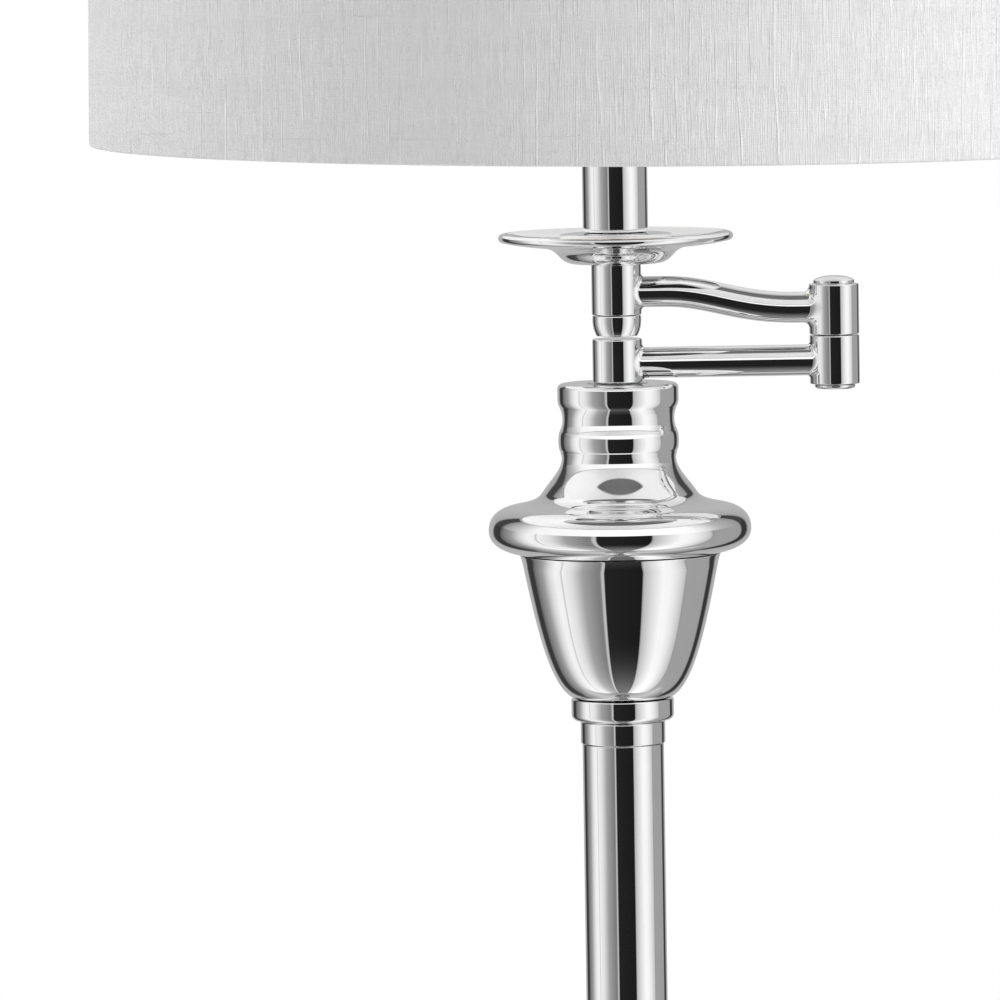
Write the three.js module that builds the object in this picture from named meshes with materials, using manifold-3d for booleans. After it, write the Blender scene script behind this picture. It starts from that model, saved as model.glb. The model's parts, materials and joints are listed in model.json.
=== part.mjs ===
// Floor lamp with a folding two-link swing arm.
//
// A weighted round base carries a hollow pole, and a turned urn ends the pole. A short stem
// turns in the urn's neck and carries the lower link. The upper link turns on the elbow and
// carries the head: drip disk, socket tube, socket, bulb, harp and drum shade. Folded, the
// upper link lies over the lower one, and the head stands over the pole.
//
// Millimetres, +Z up. The origin is the centre of the base's underside, on the pole's axis.
// The elbow points along +X, and +Y is the lamp's back.

import * as THREE from 'three';
import { mergeVertices } from 'three/addons/utils/BufferGeometryUtils.js';
import Module from 'manifold-3d';

const wasm = await Module();
wasm.setup();

// ---------------------------------------------------------------------------------------
// Driving dimensions
// ---------------------------------------------------------------------------------------

const GAP = 0.3; // clearance between neighbouring solids

const BASE_R = 140;
const BASE_H = 34;
const BASE_RIM_H = 18; // upright rim of the base cover
const COVER_WALL = 1.2;
const FELT_H = 2;
const CORD_HOLE_Z = 8; // height of the cord's outlet in the rim

const POLE_R = 15.9; // 1 1/4 inch tube
const POLE_WALL = 1.4;
const POLE_JOINT_Z = 520; // where the two pole tubes meet
const URN_Z = 1012; // top of the pole: the urn, arm and head are measured from here

const ROD_R = 5; // threaded hollow rod and nipples
const ROD_BORE_R = 3.5;
const ROD_HOLE_R = 5.4; // hole that a rod passes through
const NUT_FLATS = 17; // hexagonal nuts on the rod
const NUT_H = 4;
const LEAD_R = 2; // two-core lead inside the lamp

const URN_TOP = 141; // the urn's flat top
const BRIM_Z = 84; // widest level of the urn's brim
const BRIM_R = 51.2;

const LINK = 84.6; // pole axis to elbow axis
const ARM_R = 6;
const ARM_BORE_R = 4.5;
const ARM_HOLE_R = 6.3; // hole in a knuckle that an arm tube enters
const LOWER_ARM_Z = 148.8;
const UPPER_ARM_ELBOW_Z = 169.4;
const UPPER_ARM_HEAD_Z = 176.4;
const KNUCKLE_R = 9.7;
const KNUCKLE_BORE_R = 7.4;

const DISK_Z = 187.7; // underside of the drip disk's cup
const DISK_R = 45.7;
const BOSS_R = 21.7; // raised middle of the disk that the tube stands on
const BOSS_TOP = 199.8;
const TUBE_R = 12.7; // 1 inch socket tube
const TUBE_WALL = 0.9;
const TUBE_TOP = 248;

const SADDLE_Z = 250.6; // underside of the harp's saddle
const SADDLE_X = 31; // axis of each harp leg
const SOCKET_Z = 252.4;
const SOCKET_R = 15.9;
const SWITCH_Z = 276;
const BULB_R = 30; // A-shape globe
const BULB_Z = 361;
const HARP_TOP = 475; // seat that the shade's spider rests on
const HARP_R = 2;

const SHADE_R = 203.2; // 16 inch drum, 10 inches high
const SHADE_H = 254;
const SHADE_Z = 234; // bottom edge
const FABRIC_WALL = 0.7;
const LINER_WALL = 0.6;
const RING_WIRE_R = 1.8;

const FINE = 36; // sides of the widest turned parts
const MEDIUM = 20;
const SMALL = 16;
const TINY = 8;

// Colour, roughness and metalness of each finish.
const FINISHES = {
  chrome: [0xe2e4e6, 0.06, 1],
  steel: [0xb4b7ba, 0.35, 1],
  iron: [0x3a3b3d, 0.8, 0.6],
  brass: [0xc9a552, 0.3, 1],
  felt: [0x2b2b2b, 1, 0],
  blackPlastic: [0x1c1c1d, 0.45, 0],
  lead: [0x8f7a3c, 0.5, 0],
  card: [0xc8b48c, 0.9, 0],
  linen: [0xeeece6, 0.95, 0],
  liner: [0xf7f6f2, 0.6, 0],
  glass: [0xf4f3ee, 0.25, 0],
};

// ---------------------------------------------------------------------------------------
// Outlines
// ---------------------------------------------------------------------------------------

// Point in the XZ plane.
function xz(x, z) {
  return new THREE.Vector3(x, 0, z);
}

// Points [radius, height] of an arc about (r, z), in degrees.
function arc(r, z, radius, from, to, steps = 3) {
  return Array.from({ length: steps + 1 }, (_, i) => {
    const angle = THREE.MathUtils.degToRad(from + ((to - from) * i) / steps);
    return [r + radius * Math.cos(angle), z + radius * Math.sin(angle)];
  });
}

// Points [radius, height] of a cubic curve through its first and last control points.
function bend(start, startHandle, endHandle, end, steps = 5) {
  const points = [start, startHandle, endHandle, end].map(([r, z]) => new THREE.Vector2(r, z));
  return new THREE.CubicBezierCurve(...points).getPoints(steps).map((p) => [p.x, p.y]);
}

// Rectangle in the outline plane: a plain ring or tube when it is turned.
function band(inner, outer, bottom, top) {
  return [[inner, bottom], [outer, bottom], [outer, top], [inner, top]];
}

// The same, with its two outer edges rounded.
function roundedBand(inner, outer, bottom, top, radius) {
  return [
    [inner, bottom],
    ...arc(outer - radius, bottom + radius, radius, -90, 0, 2),
    ...arc(outer - radius, top - radius, radius, 0, 90, 2),
    [inner, top],
  ];
}

// ---------------------------------------------------------------------------------------
// Solids
// ---------------------------------------------------------------------------------------

// Turns an outline about the Z axis. The outline runs counter-clockwise, with the radius to
// the right and height up. It starts and ends on the axis, or it is closed on itself.
function turned(outline, sides = SMALL) {
  const onAxis = outline[0][0] === 0;
  const points = (onAxis ? outline : [...outline, outline[0]]).map(([r, z]) => new THREE.Vector2(r, z));
  return new THREE.LatheGeometry(points, sides).rotateX(Math.PI / 2);
}

function solid(geometry) {
  const bare = geometry.clone();
  bare.deleteAttribute('normal');
  bare.deleteAttribute('uv');
  const merged = mergeVertices(bare, 1e-4);
  return new wasm.Manifold(new wasm.Mesh({
    numProp: 3,
    vertProperties: merged.attributes.position.array,
    triVerts: new Uint32Array(merged.index.array),
  }));
}

function geometryOf(manifold) {
  const mesh = manifold.getMesh();
  const geometry = new THREE.BufferGeometry();
  geometry.setAttribute('position', new THREE.BufferAttribute(mesh.vertProperties, 3));
  geometry.setIndex(new THREE.BufferAttribute(mesh.triVerts, 1));
  geometry.computeVertexNormals();
  return geometry;
}

function joined(...geometries) {
  return geometryOf(geometries.map(solid).reduce((whole, next) => whole.add(next)));
}

function cut(geometry, ...tools) {
  return geometryOf(tools.map(solid).reduce((whole, tool) => whole.subtract(tool), solid(geometry)));
}

// Round bar of the given radius along a curve, hollow when a bore is given.
function barAlong(curve, radius, bore, sides, steps) {
  const section = new THREE.Shape();
  section.absarc(0, 0, radius, 0, 2 * Math.PI);
  if (bore > 0) {
    const hole = new THREE.Path();
    hole.absarc(0, 0, bore, 0, 2 * Math.PI);
    section.holes.push(hole);
  }
  const options = { extrudePath: curve, steps, curveSegments: sides / 2, bevelEnabled: false };
  return new THREE.ExtrudeGeometry(section, options);
}

function barX(radius, x0, x1, z, sides) {
  return new THREE.CylinderGeometry(radius, radius, x1 - x0, sides)
    .rotateZ(Math.PI / 2)
    .translate((x0 + x1) / 2, 0, z);
}

function barY(radius, y0, y1, z, sides) {
  return new THREE.CylinderGeometry(radius, radius, y1 - y0, sides).translate(0, (y0 + y1) / 2, z);
}

function block(x, y, z, centre) {
  return new THREE.BoxGeometry(x, y, z).translate(...centre);
}

// Hexagonal nut of the hollow rod, on the Z axis.
function nut(bottom) {
  const corner = NUT_FLATS / Math.sqrt(3);
  const shape = new THREE.Shape(
    Array.from({ length: 6 }, (_, i) => {
      const angle = (i * Math.PI) / 3;
      return new THREE.Vector2(corner * Math.cos(angle), corner * Math.sin(angle));
    }),
  );
  const bore = new THREE.Path();
  bore.absarc(0, 0, ROD_R + GAP, 0, 2 * Math.PI);
  shape.holes.push(bore);
  return new THREE.ExtrudeGeometry(shape, { depth: NUT_H, curveSegments: 6, bevelEnabled: false })
    .translate(0, 0, bottom);
}

// Path of straight runs in the XZ plane whose corners are rounded to one radius.
function roundedRoute(corners, radius) {
  const route = new THREE.CurvePath();
  const points = corners.map(([x, z]) => xz(x, z));
  let from = points[0];
  for (let i = 1; i < points.length - 1; i += 1) {
    const corner = points[i];
    const back = points[i - 1].clone().sub(corner).setLength(radius).add(corner);
    const ahead = points[i + 1].clone().sub(corner).setLength(radius).add(corner);
    route.add(new THREE.LineCurve3(from, back));
    route.add(new THREE.QuadraticBezierCurve3(back, corner, ahead));
    from = ahead;
  }
  route.add(new THREE.LineCurve3(from, points[points.length - 1]));
  return route;
}

function group(x, z) {
  const frame = new THREE.Group();
  frame.position.set(x, 0, z);
  lamp.add(frame);
  return frame;
}

function add(parent, name, geometry, finish) {
  const [color, roughness, metalness] = FINISHES[finish];
  const mesh = new THREE.Mesh(geometry, new THREE.MeshStandardMaterial({ color, roughness, metalness }));
  mesh.name = name;
  parent.add(mesh);
}

const lamp = new THREE.Group();

// ---------------------------------------------------------------------------------------
// Base: felt, cast weight, spun cover, cord bushing, and the nut that clamps the rod
// ---------------------------------------------------------------------------------------

const base = group(0, 0);
const WEIGHT_R = BASE_R - 6;
const RECESS_R = 24; // recess under the weight for the nut
const RECESS_TOP = 18;
const CHANNEL_W = 9; // cord channel under the weight

add(base, 'felt_pad', turned([[0, 0], [BASE_R - 5, 0], [BASE_R - 5, FELT_H], [0, FELT_H]], FINE), 'felt');

function weightGeometry() {
  const body = turned([
    [ROD_HOLE_R, RECESS_TOP],
    [RECESS_R, RECESS_TOP],
    [RECESS_R, FELT_H + GAP],
    [WEIGHT_R, FELT_H + GAP],
    [WEIGHT_R, BASE_RIM_H - 4],
    [WEIGHT_R - 14, BASE_RIM_H],
    [58, BASE_H - 9],
    [ROD_HOLE_R, BASE_H - 7],
  ], FINE);
  const top = CORD_HOLE_Z + CHANNEL_W / 2;
  const channel = block(CHANNEL_W, WEIGHT_R, top, [0, (WEIGHT_R + RECESS_R) / 2, top / 2]);
  return cut(body, channel);
}

function coverGeometry() {
  const shoulder = BASE_R - 9;
  const body = turned([
    [BASE_R - COVER_WALL, FELT_H + GAP],
    [BASE_R, FELT_H + GAP],
    ...arc(BASE_R - 5, BASE_RIM_H - 5, 5, 0, 80, 2),
    ...bend([shoulder, BASE_RIM_H + 1], [100, 23], [84, 25], [64, BASE_H - 6], 3),
    ...arc(60, BASE_H - 4, 4, 0, 90, 2),
    [ROD_HOLE_R, BASE_H],
    [ROD_HOLE_R, BASE_H - COVER_WALL],
    [60, BASE_H - COVER_WALL],
    ...bend([62.5, BASE_H - 7.2], [84, 23.8], [100, 21.8], [shoulder, BASE_RIM_H - 0.4], 3),
    ...arc(BASE_R - 5 - COVER_WALL, BASE_RIM_H - 5.8, 4, 80, 0, 2),
  ], FINE);
  return cut(body, barY(4.3, BASE_R - 8, BASE_R + 4, CORD_HOLE_Z, TINY));
}

add(base, 'base_weight', weightGeometry(), 'iron');
add(base, 'base_cover', coverGeometry(), 'chrome');
const bushing = cut(
  joined(barY(3.9, BASE_R - 3, BASE_R - 0.5, 0, TINY), barY(4.8, BASE_R - 4.4, BASE_R - 2.4, 0, TINY)),
  barY(2.6, BASE_R - 10, BASE_R + 4, 0, TINY),
).translate(0, 0, CORD_HOLE_Z);
add(base, 'cord_bushing', bushing, 'blackPlastic');

add(base, 'base_nut', nut(RECESS_TOP - 9), 'steel');
add(base, 'base_lock_washer', turned(band(ROD_HOLE_R, 10, RECESS_TOP - 4.7, RECESS_TOP - 3.3)), 'steel');
add(base, 'base_washer', turned(band(ROD_HOLE_R, 20, RECESS_TOP - 3, RECESS_TOP - GAP)), 'steel');

// ---------------------------------------------------------------------------------------
// Pole: two tubes on a hollow rod that runs from the base nut to the urn nut
// ---------------------------------------------------------------------------------------

const SPIGOT_R = POLE_R - POLE_WALL - GAP;
const POLE_FOOT = BASE_H + 12;
const ROD_TOP = 36; // end of the rod inside the urn

add(base, 'pole_seat', turned([
  [ROD_HOLE_R, BASE_H + GAP],
  ...arc(21, BASE_H + GAP + 2.5, 2.5, -90, 90, 3),
  ...bend([19.5, POLE_FOOT - 6], [18.2, POLE_FOOT - 4], [17.5, POLE_FOOT - 3], [17.5, POLE_FOOT - GAP], 3),
  [SPIGOT_R, POLE_FOOT - GAP],
  [SPIGOT_R, POLE_FOOT + 18],
  [ROD_HOLE_R, POLE_FOOT + 18],
], MEDIUM), 'chrome');

function poleTube(bottom, top) {
  return turned(band(POLE_R - POLE_WALL, POLE_R, bottom, top), MEDIUM);
}

add(base, 'pole_lower', poleTube(POLE_FOOT, POLE_JOINT_Z), 'chrome');
add(base, 'pole_coupling', turned(band(ROD_HOLE_R, SPIGOT_R, POLE_JOINT_Z - 25, POLE_JOINT_Z + 25), MEDIUM),
  'steel');
add(base, 'pole_upper', poleTube(POLE_JOINT_Z + GAP, URN_Z), 'chrome');
add(base, 'center_rod', turned(band(ROD_BORE_R, ROD_R, RECESS_TOP - 8.4, URN_Z + ROD_TOP), TINY), 'steel');

// ---------------------------------------------------------------------------------------
// Urn: pole sleeve, collar, bowl and the turned top with its neck
// ---------------------------------------------------------------------------------------

const urn = group(0, URN_Z);
const SPIGOT_DEPTH = 14;
const SLEEVE_R = 16.5;
const SLEEVE_TOP = 9;
const COLLAR_R = 20;
const BOWL_Z = 18;
const BOWL_TOP = 74.5;
const BOWL_WALL = 2.4;
const PLATE_Z = URN_TOP - 6; // underside of the plate that the stem turns in
const STEM_BOTTOM = 117;
const STEM_RECESS = 1.2; // recess in the urn's top for the friction washer

add(urn, 'pole_sleeve', turned([
  [ROD_HOLE_R, -SPIGOT_DEPTH],
  [SPIGOT_R, -SPIGOT_DEPTH],
  [SPIGOT_R, GAP],
  [SLEEVE_R, GAP],
  ...arc(SLEEVE_R - 0.8, SLEEVE_TOP - 0.8, 0.8, 0, 90, 2),
  [ROD_HOLE_R, SLEEVE_TOP],
], MEDIUM), 'chrome');
add(urn, 'urn_collar', turned([
  [ROD_HOLE_R, SLEEVE_TOP + GAP],
  ...arc(COLLAR_R - 2.2, SLEEVE_TOP + GAP + 2.2, 2.2, -90, 0, 3),
  [COLLAR_R, BOWL_Z - GAP - 0.5],
  [COLLAR_R - 0.5, BOWL_Z - GAP],
  [ROD_HOLE_R, BOWL_Z - GAP],
], MEDIUM), 'chrome');

// The bowl's curve, with the flare of its lip.
function bowlOutline(inset, steps) {
  return [
    ...bend([19.5, BOWL_Z + 0.3 + inset], [27.8 - inset, 23 + inset / 2], [32.6 - inset, 42.8],
      [38 - inset, BOWL_TOP - 4.4], steps),
    [39.3 - inset, BOWL_TOP],
  ];
}

add(urn, 'urn_bowl', turned([
  [ROD_HOLE_R, BOWL_Z],
  [19, BOWL_Z],
  ...bowlOutline(0, 6),
  ...bowlOutline(BOWL_WALL, 4).reverse(),
  [ROD_HOLE_R, BOWL_Z + 0.3 + BOWL_WALL],
], MEDIUM), 'chrome');
add(urn, 'urn_washer', turned(band(ROD_HOLE_R, 11, BOWL_Z + 3, BOWL_Z + 5), SMALL), 'steel');
add(urn, 'urn_nut', nut(BOWL_Z + 5.3), 'steel');

add(urn, 'urn_top', turned([
  [33, 69],
  [34.3, 69],
  [34.3, BOWL_TOP + GAP],
  ...bend([39.3, BOWL_TOP + GAP], [45.5, 76], [BRIM_R, 78.3], [BRIM_R, BRIM_Z], 4),
  ...bend([BRIM_R, BRIM_Z], [BRIM_R, 89], [48, 92.1], [42.5, 93.3], 3).slice(1),
  ...bend([42.5, 93.3], [33.8, 94.9], [31.4, 96.5], [30.2, 98.4], 3).slice(1),
  ...bend([27.5, 102.1], [23.6, 106.9], [22.4, 109.2], [22.3, 111.6], 3),
  [22.8, 114.7],
  [23.45, 116.4],
  [23.45, 120.8],
  [22.2, 124.2],
  [21.8, 127],
  [22.4, 130.3],
  [23.6, 134.2],
  ...arc(21.6, URN_TOP - 2, 2, 0, 90, 2),
  [12, URN_TOP],
  [12, URN_TOP - STEM_RECESS],
  [ROD_HOLE_R, URN_TOP - STEM_RECESS],
  [ROD_HOLE_R, PLATE_Z],
  [18.5, PLATE_Z],
  [18.5, 112],
  [30, 92],
  [45, 87],
  [45, 81],
  [33, 77],
], MEDIUM), 'chrome');

// ---------------------------------------------------------------------------------------
// Lower link: stem, knuckle, arm tube and the lower half of the elbow
// ---------------------------------------------------------------------------------------

const lower = group(0, URN_Z);
const lowerElbow = group(LINK, URN_Z);
const KNUCKLE_FLOOR = 143.2;
const ARM_INSET = 7.9; // from a knuckle's axis to the end of its arm tube

add(lower, 'swivel_washer', turned(band(ROD_HOLE_R, 11.5, URN_TOP - 0.9, URN_TOP), SMALL), 'steel');
add(lower, 'swivel_stem', turned(band(ROD_BORE_R, ROD_R, STEM_BOTTOM, KNUCKLE_FLOOR), SMALL), 'steel');
add(lower, 'stem_spring_washer', turned(band(ROD_HOLE_R, 9, PLATE_Z - 2, PLATE_Z - GAP), SMALL), 'steel');
add(lower, 'stem_nut', nut(PLATE_Z - 2.3 - NUT_H), 'steel');

// Barrel of a knuckle, with a hole in one side for its arm tube.
function knuckle(outline, armZ, side) {
  const reach = side > 0 ? [0, 2 * KNUCKLE_R] : [-2 * KNUCKLE_R, 0];
  return cut(turned(outline, SMALL), barX(ARM_HOLE_R, ...reach, armZ, 16));
}

const LOWER_TOP = 158.3;
add(lower, 'lower_knuckle', knuckle([
  [0, LOWER_TOP - 2.6],
  [KNUCKLE_BORE_R, LOWER_TOP - 2.6],
  [KNUCKLE_BORE_R, KNUCKLE_FLOOR],
  [ROD_HOLE_R, KNUCKLE_FLOOR],
  [ROD_HOLE_R, URN_TOP + GAP],
  [KNUCKLE_R - 0.5, URN_TOP + GAP],
  [KNUCKLE_R, URN_TOP + GAP + 0.5],
  [KNUCKLE_R, LOWER_TOP - 0.5],
  [KNUCKLE_R - 0.5, LOWER_TOP],
  [0, LOWER_TOP],
], LOWER_ARM_Z, 1), 'chrome');

const straightArm = new THREE.LineCurve3(xz(ARM_INSET, LOWER_ARM_Z), xz(LINK - ARM_INSET, LOWER_ARM_Z));
add(lower, 'lower_arm', barAlong(straightArm, ARM_R, ARM_BORE_R, 10, 1), 'chrome');

const ELBOW_BOTTOM = 139.5;
const ELBOW_SEAM = 158.5;
add(lowerElbow, 'elbow_lower_knuckle', knuckle([
  [KNUCKLE_BORE_R, ELBOW_BOTTOM],
  [KNUCKLE_R, ELBOW_BOTTOM],
  [KNUCKLE_R, ELBOW_SEAM - 0.5],
  [KNUCKLE_R - 0.5, ELBOW_SEAM],
  [ROD_HOLE_R, ELBOW_SEAM],
  [ROD_HOLE_R, ELBOW_SEAM - 3],
  [KNUCKLE_BORE_R, ELBOW_SEAM - 3],
], LOWER_ARM_Z, -1), 'chrome');
add(lowerElbow, 'elbow_bottom_cap', turned([
  [0, ELBOW_BOTTOM - 1.9],
  [7.2, ELBOW_BOTTOM - 1.9],
  [7.9, ELBOW_BOTTOM - 1.2],
  [7.9, ELBOW_BOTTOM - GAP],
  [KNUCKLE_BORE_R - GAP, ELBOW_BOTTOM - GAP],
  [KNUCKLE_BORE_R - GAP, ELBOW_BOTTOM + 2.6],
  [0, ELBOW_BOTTOM + 2.6],
]), 'chrome');
add(lowerElbow, 'elbow_pin', turned(band(ROD_BORE_R, ROD_R, ELBOW_SEAM - 3, ELBOW_SEAM + 7)), 'steel');
add(lowerElbow, 'elbow_nut', turned(band(ROD_R + GAP, 7, ELBOW_SEAM + 4.5, ELBOW_SEAM + 6.5)), 'steel');

// ---------------------------------------------------------------------------------------
// Upper link: the upper half of the elbow, the bent arm tube and the head's knuckle
// ---------------------------------------------------------------------------------------

const upper = group(0, URN_Z);
const upperElbow = group(LINK, URN_Z);
const UPPER_BOTTOM = ELBOW_SEAM + 0.4;
const UPPER_TOP = 178.4;

add(upperElbow, 'elbow_washer', turned(band(ROD_HOLE_R, 7.7, ELBOW_SEAM + GAP, ELBOW_SEAM + 1.3)), 'steel');
add(upperElbow, 'elbow_upper_knuckle', knuckle([
  [8, UPPER_BOTTOM],
  [KNUCKLE_R - 0.5, UPPER_BOTTOM],
  [KNUCKLE_R, UPPER_BOTTOM + 0.5],
  [KNUCKLE_R, UPPER_TOP],
  [KNUCKLE_BORE_R, UPPER_TOP],
  [KNUCKLE_BORE_R, ELBOW_SEAM + 4.1],
  [ROD_HOLE_R, ELBOW_SEAM + 4.1],
  [ROD_HOLE_R, ELBOW_SEAM + 1.6],
  [8, ELBOW_SEAM + 1.6],
], UPPER_ARM_ELBOW_Z, -1), 'chrome');
add(upperElbow, 'elbow_top_cap', turned([
  [0, UPPER_TOP - 2],
  [KNUCKLE_BORE_R - GAP, UPPER_TOP - 2],
  [KNUCKLE_BORE_R - GAP, UPPER_TOP + GAP],
  [8, UPPER_TOP + GAP],
  ...bend([8, UPPER_TOP + 1.4], [7, UPPER_TOP + 2.6], [3.5, UPPER_TOP + 3.2], [0, UPPER_TOP + 3.2], 3),
]), 'chrome');

// The upper arm rises from the elbow's level to the head's over a slow S-bend.
const S_START = 18;
const S_END = 70;
function upperArmRoute(from, to) {
  const high = xz(S_START, UPPER_ARM_HEAD_Z);
  const low = xz(S_END, UPPER_ARM_ELBOW_Z);
  const leave = xz(S_START + 19, UPPER_ARM_HEAD_Z);
  const arrive = xz(S_END - 24, UPPER_ARM_ELBOW_Z);
  const route = new THREE.CurvePath();
  route.add(new THREE.LineCurve3(xz(from, UPPER_ARM_HEAD_Z), high));
  route.add(new THREE.CubicBezierCurve3(high, leave, arrive, low));
  route.add(new THREE.LineCurve3(low, xz(to, UPPER_ARM_ELBOW_Z)));
  return route;
}

add(upper, 'upper_arm', barAlong(upperArmRoute(ARM_INSET, LINK - ARM_INSET), ARM_R, ARM_BORE_R, 10, 13),
  'chrome');

const HEAD_BOTTOM = 167.7;
const HEAD_TOP = 187.4;
add(upper, 'upper_knuckle', knuckle([
  [KNUCKLE_BORE_R, HEAD_BOTTOM],
  [KNUCKLE_R, HEAD_BOTTOM],
  [KNUCKLE_R, HEAD_TOP],
  [ROD_HOLE_R, HEAD_TOP],
  [ROD_HOLE_R, HEAD_TOP - 3],
  [KNUCKLE_BORE_R, HEAD_TOP - 3],
], UPPER_ARM_HEAD_Z, 1), 'chrome');
add(upper, 'knuckle_cap', turned([
  [0, 159.4],
  ...bend([8, 159.4], [9.2, 161.6], [9.8, 164.6], [9.4, HEAD_BOTTOM - GAP], 4),
  [KNUCKLE_BORE_R - GAP, HEAD_BOTTOM - GAP],
  [KNUCKLE_BORE_R - GAP, HEAD_BOTTOM + 2.4],
  [0, HEAD_BOTTOM + 2.4],
]), 'chrome');

// ---------------------------------------------------------------------------------------
// Head: drip disk, socket tube, harp saddle, socket, switch and bulb
// ---------------------------------------------------------------------------------------

add(upper, 'head_nipple', turned(band(ROD_BORE_R, ROD_R, HEAD_TOP - 3, SOCKET_Z + 3), TINY), 'steel');
add(upper, 'drip_disk', turned([
  [ROD_HOLE_R, DISK_Z],
  ...bend([16, DISK_Z], [20, DISK_Z + 0.1], [21.5, 190], [23, 191.6], 2),
  ...bend([26, 193.6], [32, 194.7], [40, 195.2], [44, 196.3], 2),
  ...arc(DISK_R - 1.6, 198, 1.6, -60, 120, 3),
  ...bend([41, 198.7], [36, 196.9], [28, 196.2], [BOSS_R, 196], 2),
  [BOSS_R, BOSS_TOP - 0.8],
  [BOSS_R - 1.2, BOSS_TOP - 0.3],
  [TUBE_R, BOSS_TOP],
  [ROD_HOLE_R, BOSS_TOP],
], MEDIUM + 4), 'chrome');
add(upper, 'socket_tube', turned(band(TUBE_R - TUBE_WALL, TUBE_R, BOSS_TOP + GAP, TUBE_TOP), MEDIUM),
  'chrome');
add(upper, 'tube_cap', turned(band(ROD_HOLE_R, TUBE_R, TUBE_TOP + GAP, SADDLE_Z - GAP), SMALL), 'steel');

const POST_TOP = SADDLE_Z + 14;
function saddleGeometry() {
  const bar = block(2 * SADDLE_X + 6, 14, 1.5, [0, 0, SADDLE_Z + 0.75]);
  const posts = [-1, 1].map((side) =>
    turned([[0, SADDLE_Z + 0.5], [2.4, SADDLE_Z + 0.5], [2.4, POST_TOP], [0, POST_TOP]], TINY)
      .translate(side * SADDLE_X, 0, 0));
  const hole = turned([[0, SADDLE_Z - 2], [ROD_HOLE_R, SADDLE_Z - 2], [ROD_HOLE_R, SADDLE_Z + 4],
    [0, SADDLE_Z + 4]], SMALL);
  return cut(joined(bar, ...posts), hole);
}
add(upper, 'harp_saddle', saddleGeometry(), 'brass');

const CAP_RIM = SOCKET_Z + 16;
const SHELL_TOP = CAP_RIM + 38;
add(upper, 'socket_cap', turned([
  [ROD_HOLE_R, SOCKET_Z],
  ...bend([10, SOCKET_Z], [15, SOCKET_Z + 1], [17.2, SOCKET_Z + 5], [17.2, SOCKET_Z + 8], 4),
  [17.2, CAP_RIM],
  [SOCKET_R + GAP, CAP_RIM],
  [SOCKET_R + GAP, SOCKET_Z + 8],
  ...bend([SOCKET_R + GAP, SOCKET_Z + 7], [15.6, SOCKET_Z + 4.5], [12, SOCKET_Z + 1.2],
    [ROD_HOLE_R, SOCKET_Z + 1.2], 3),
]), 'brass');

const switchHole = barY(3.4, -22, 0, SWITCH_Z, TINY);
add(upper, 'socket_shell', cut(turned(band(SOCKET_R - 0.6, SOCKET_R, SOCKET_Z + 9, SHELL_TOP)), switchHole),
  'brass');
const insulator = turned(band(SOCKET_R - 1.4, SOCKET_R - 0.9, SOCKET_Z + 9, SHELL_TOP - 1));
add(upper, 'socket_insulator', cut(insulator, switchHole), 'card');
add(upper, 'socket_core', turned([[0, SOCKET_Z + 12], [14, SOCKET_Z + 12], [14, SWITCH_Z + 8],
  [0, SWITCH_Z + 8]]), 'blackPlastic');
add(upper, 'screw_shell', turned(band(13.4, 14, SWITCH_Z + 8.3, SHELL_TOP - 2)), 'brass');
add(upper, 'bulb_base', turned([
  [0, SWITCH_Z + 9],
  [5, SWITCH_Z + 9],
  [12.9, SWITCH_Z + 13],
  [12.9, SHELL_TOP + 2],
  [0, SHELL_TOP + 2],
]), 'steel');

const GLOBE_NECK = SHELL_TOP + 2.3;
const GLOBE_WALL = 1;
function globeOutline(inset) {
  return [
    [12.5 - inset, GLOBE_NECK],
    ...bend([13 - inset, GLOBE_NECK + 6], [15 - inset, GLOBE_NECK + 20], [24 - inset, GLOBE_NECK + 26],
      [BULB_R * Math.cos(0.5) - inset, BULB_Z - BULB_R * Math.sin(0.5)], 3),
    ...arc(0, BULB_Z, BULB_R - inset, -10, 90, 4),
  ];
}
add(upper, 'bulb_globe', turned([...globeOutline(GLOBE_WALL).reverse(), ...globeOutline(0)]), 'glass');

const knobGroup = group(0, URN_Z);
add(knobGroup, 'switch_shaft', barY(2.4, -25, -14.4, SWITCH_Z, TINY), 'brass');
add(knobGroup, 'switch_knob', barY(5.2, -36, -25.3, SWITCH_Z, SMALL), 'blackPlastic');

// ---------------------------------------------------------------------------------------
// Harp, its two lifting ferrules, the finial and the drum shade
// ---------------------------------------------------------------------------------------

const LEG_Z = POST_TOP + GAP;
const SEAT_Z = HARP_TOP - 2;
// One side of the wire: a straight leg that its ferrule slides up, then the bow to the seat.
const harpSide = [
  [SADDLE_X, LEG_Z],
  [SADDLE_X, LEG_Z + 12],
  [SADDLE_X, LEG_Z + 22],
  [38, LEG_Z + 38],
  [50, LEG_Z + 63],
  [56, LEG_Z + 104],
  [47, LEG_Z + 152],
  [24, SEAT_Z - 8],
  [0, SEAT_Z - HARP_R],
];
function harpRoute() {
  const right = harpSide.map(([x, z]) => xz(x, z));
  const left = harpSide.slice(0, -1).reverse().map(([x, z]) => xz(-x, z));
  return new THREE.CatmullRomCurve3([...right, ...left], false, 'centripetal');
}
const seat = turned([[0, SEAT_Z - 3], [7, SEAT_Z - 3], [7, HARP_TOP], [3, HARP_TOP], [3, HARP_TOP + 13],
  [0, HARP_TOP + 13]], TINY);
add(upper, 'harp', joined(barAlong(harpRoute(), HARP_R, 0, 6, 32), seat), 'brass');

for (const [name, side] of [['left', -1], ['right', 1]]) {
  const ferrule = turned(roundedBand(2.8, 4, POST_TOP - 8, POST_TOP + 8, 0.5), TINY)
    .translate(side * SADDLE_X, 0, 0);
  add(group(0, URN_Z), `harp_ferrule_${name}`, ferrule, 'brass');
}

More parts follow.
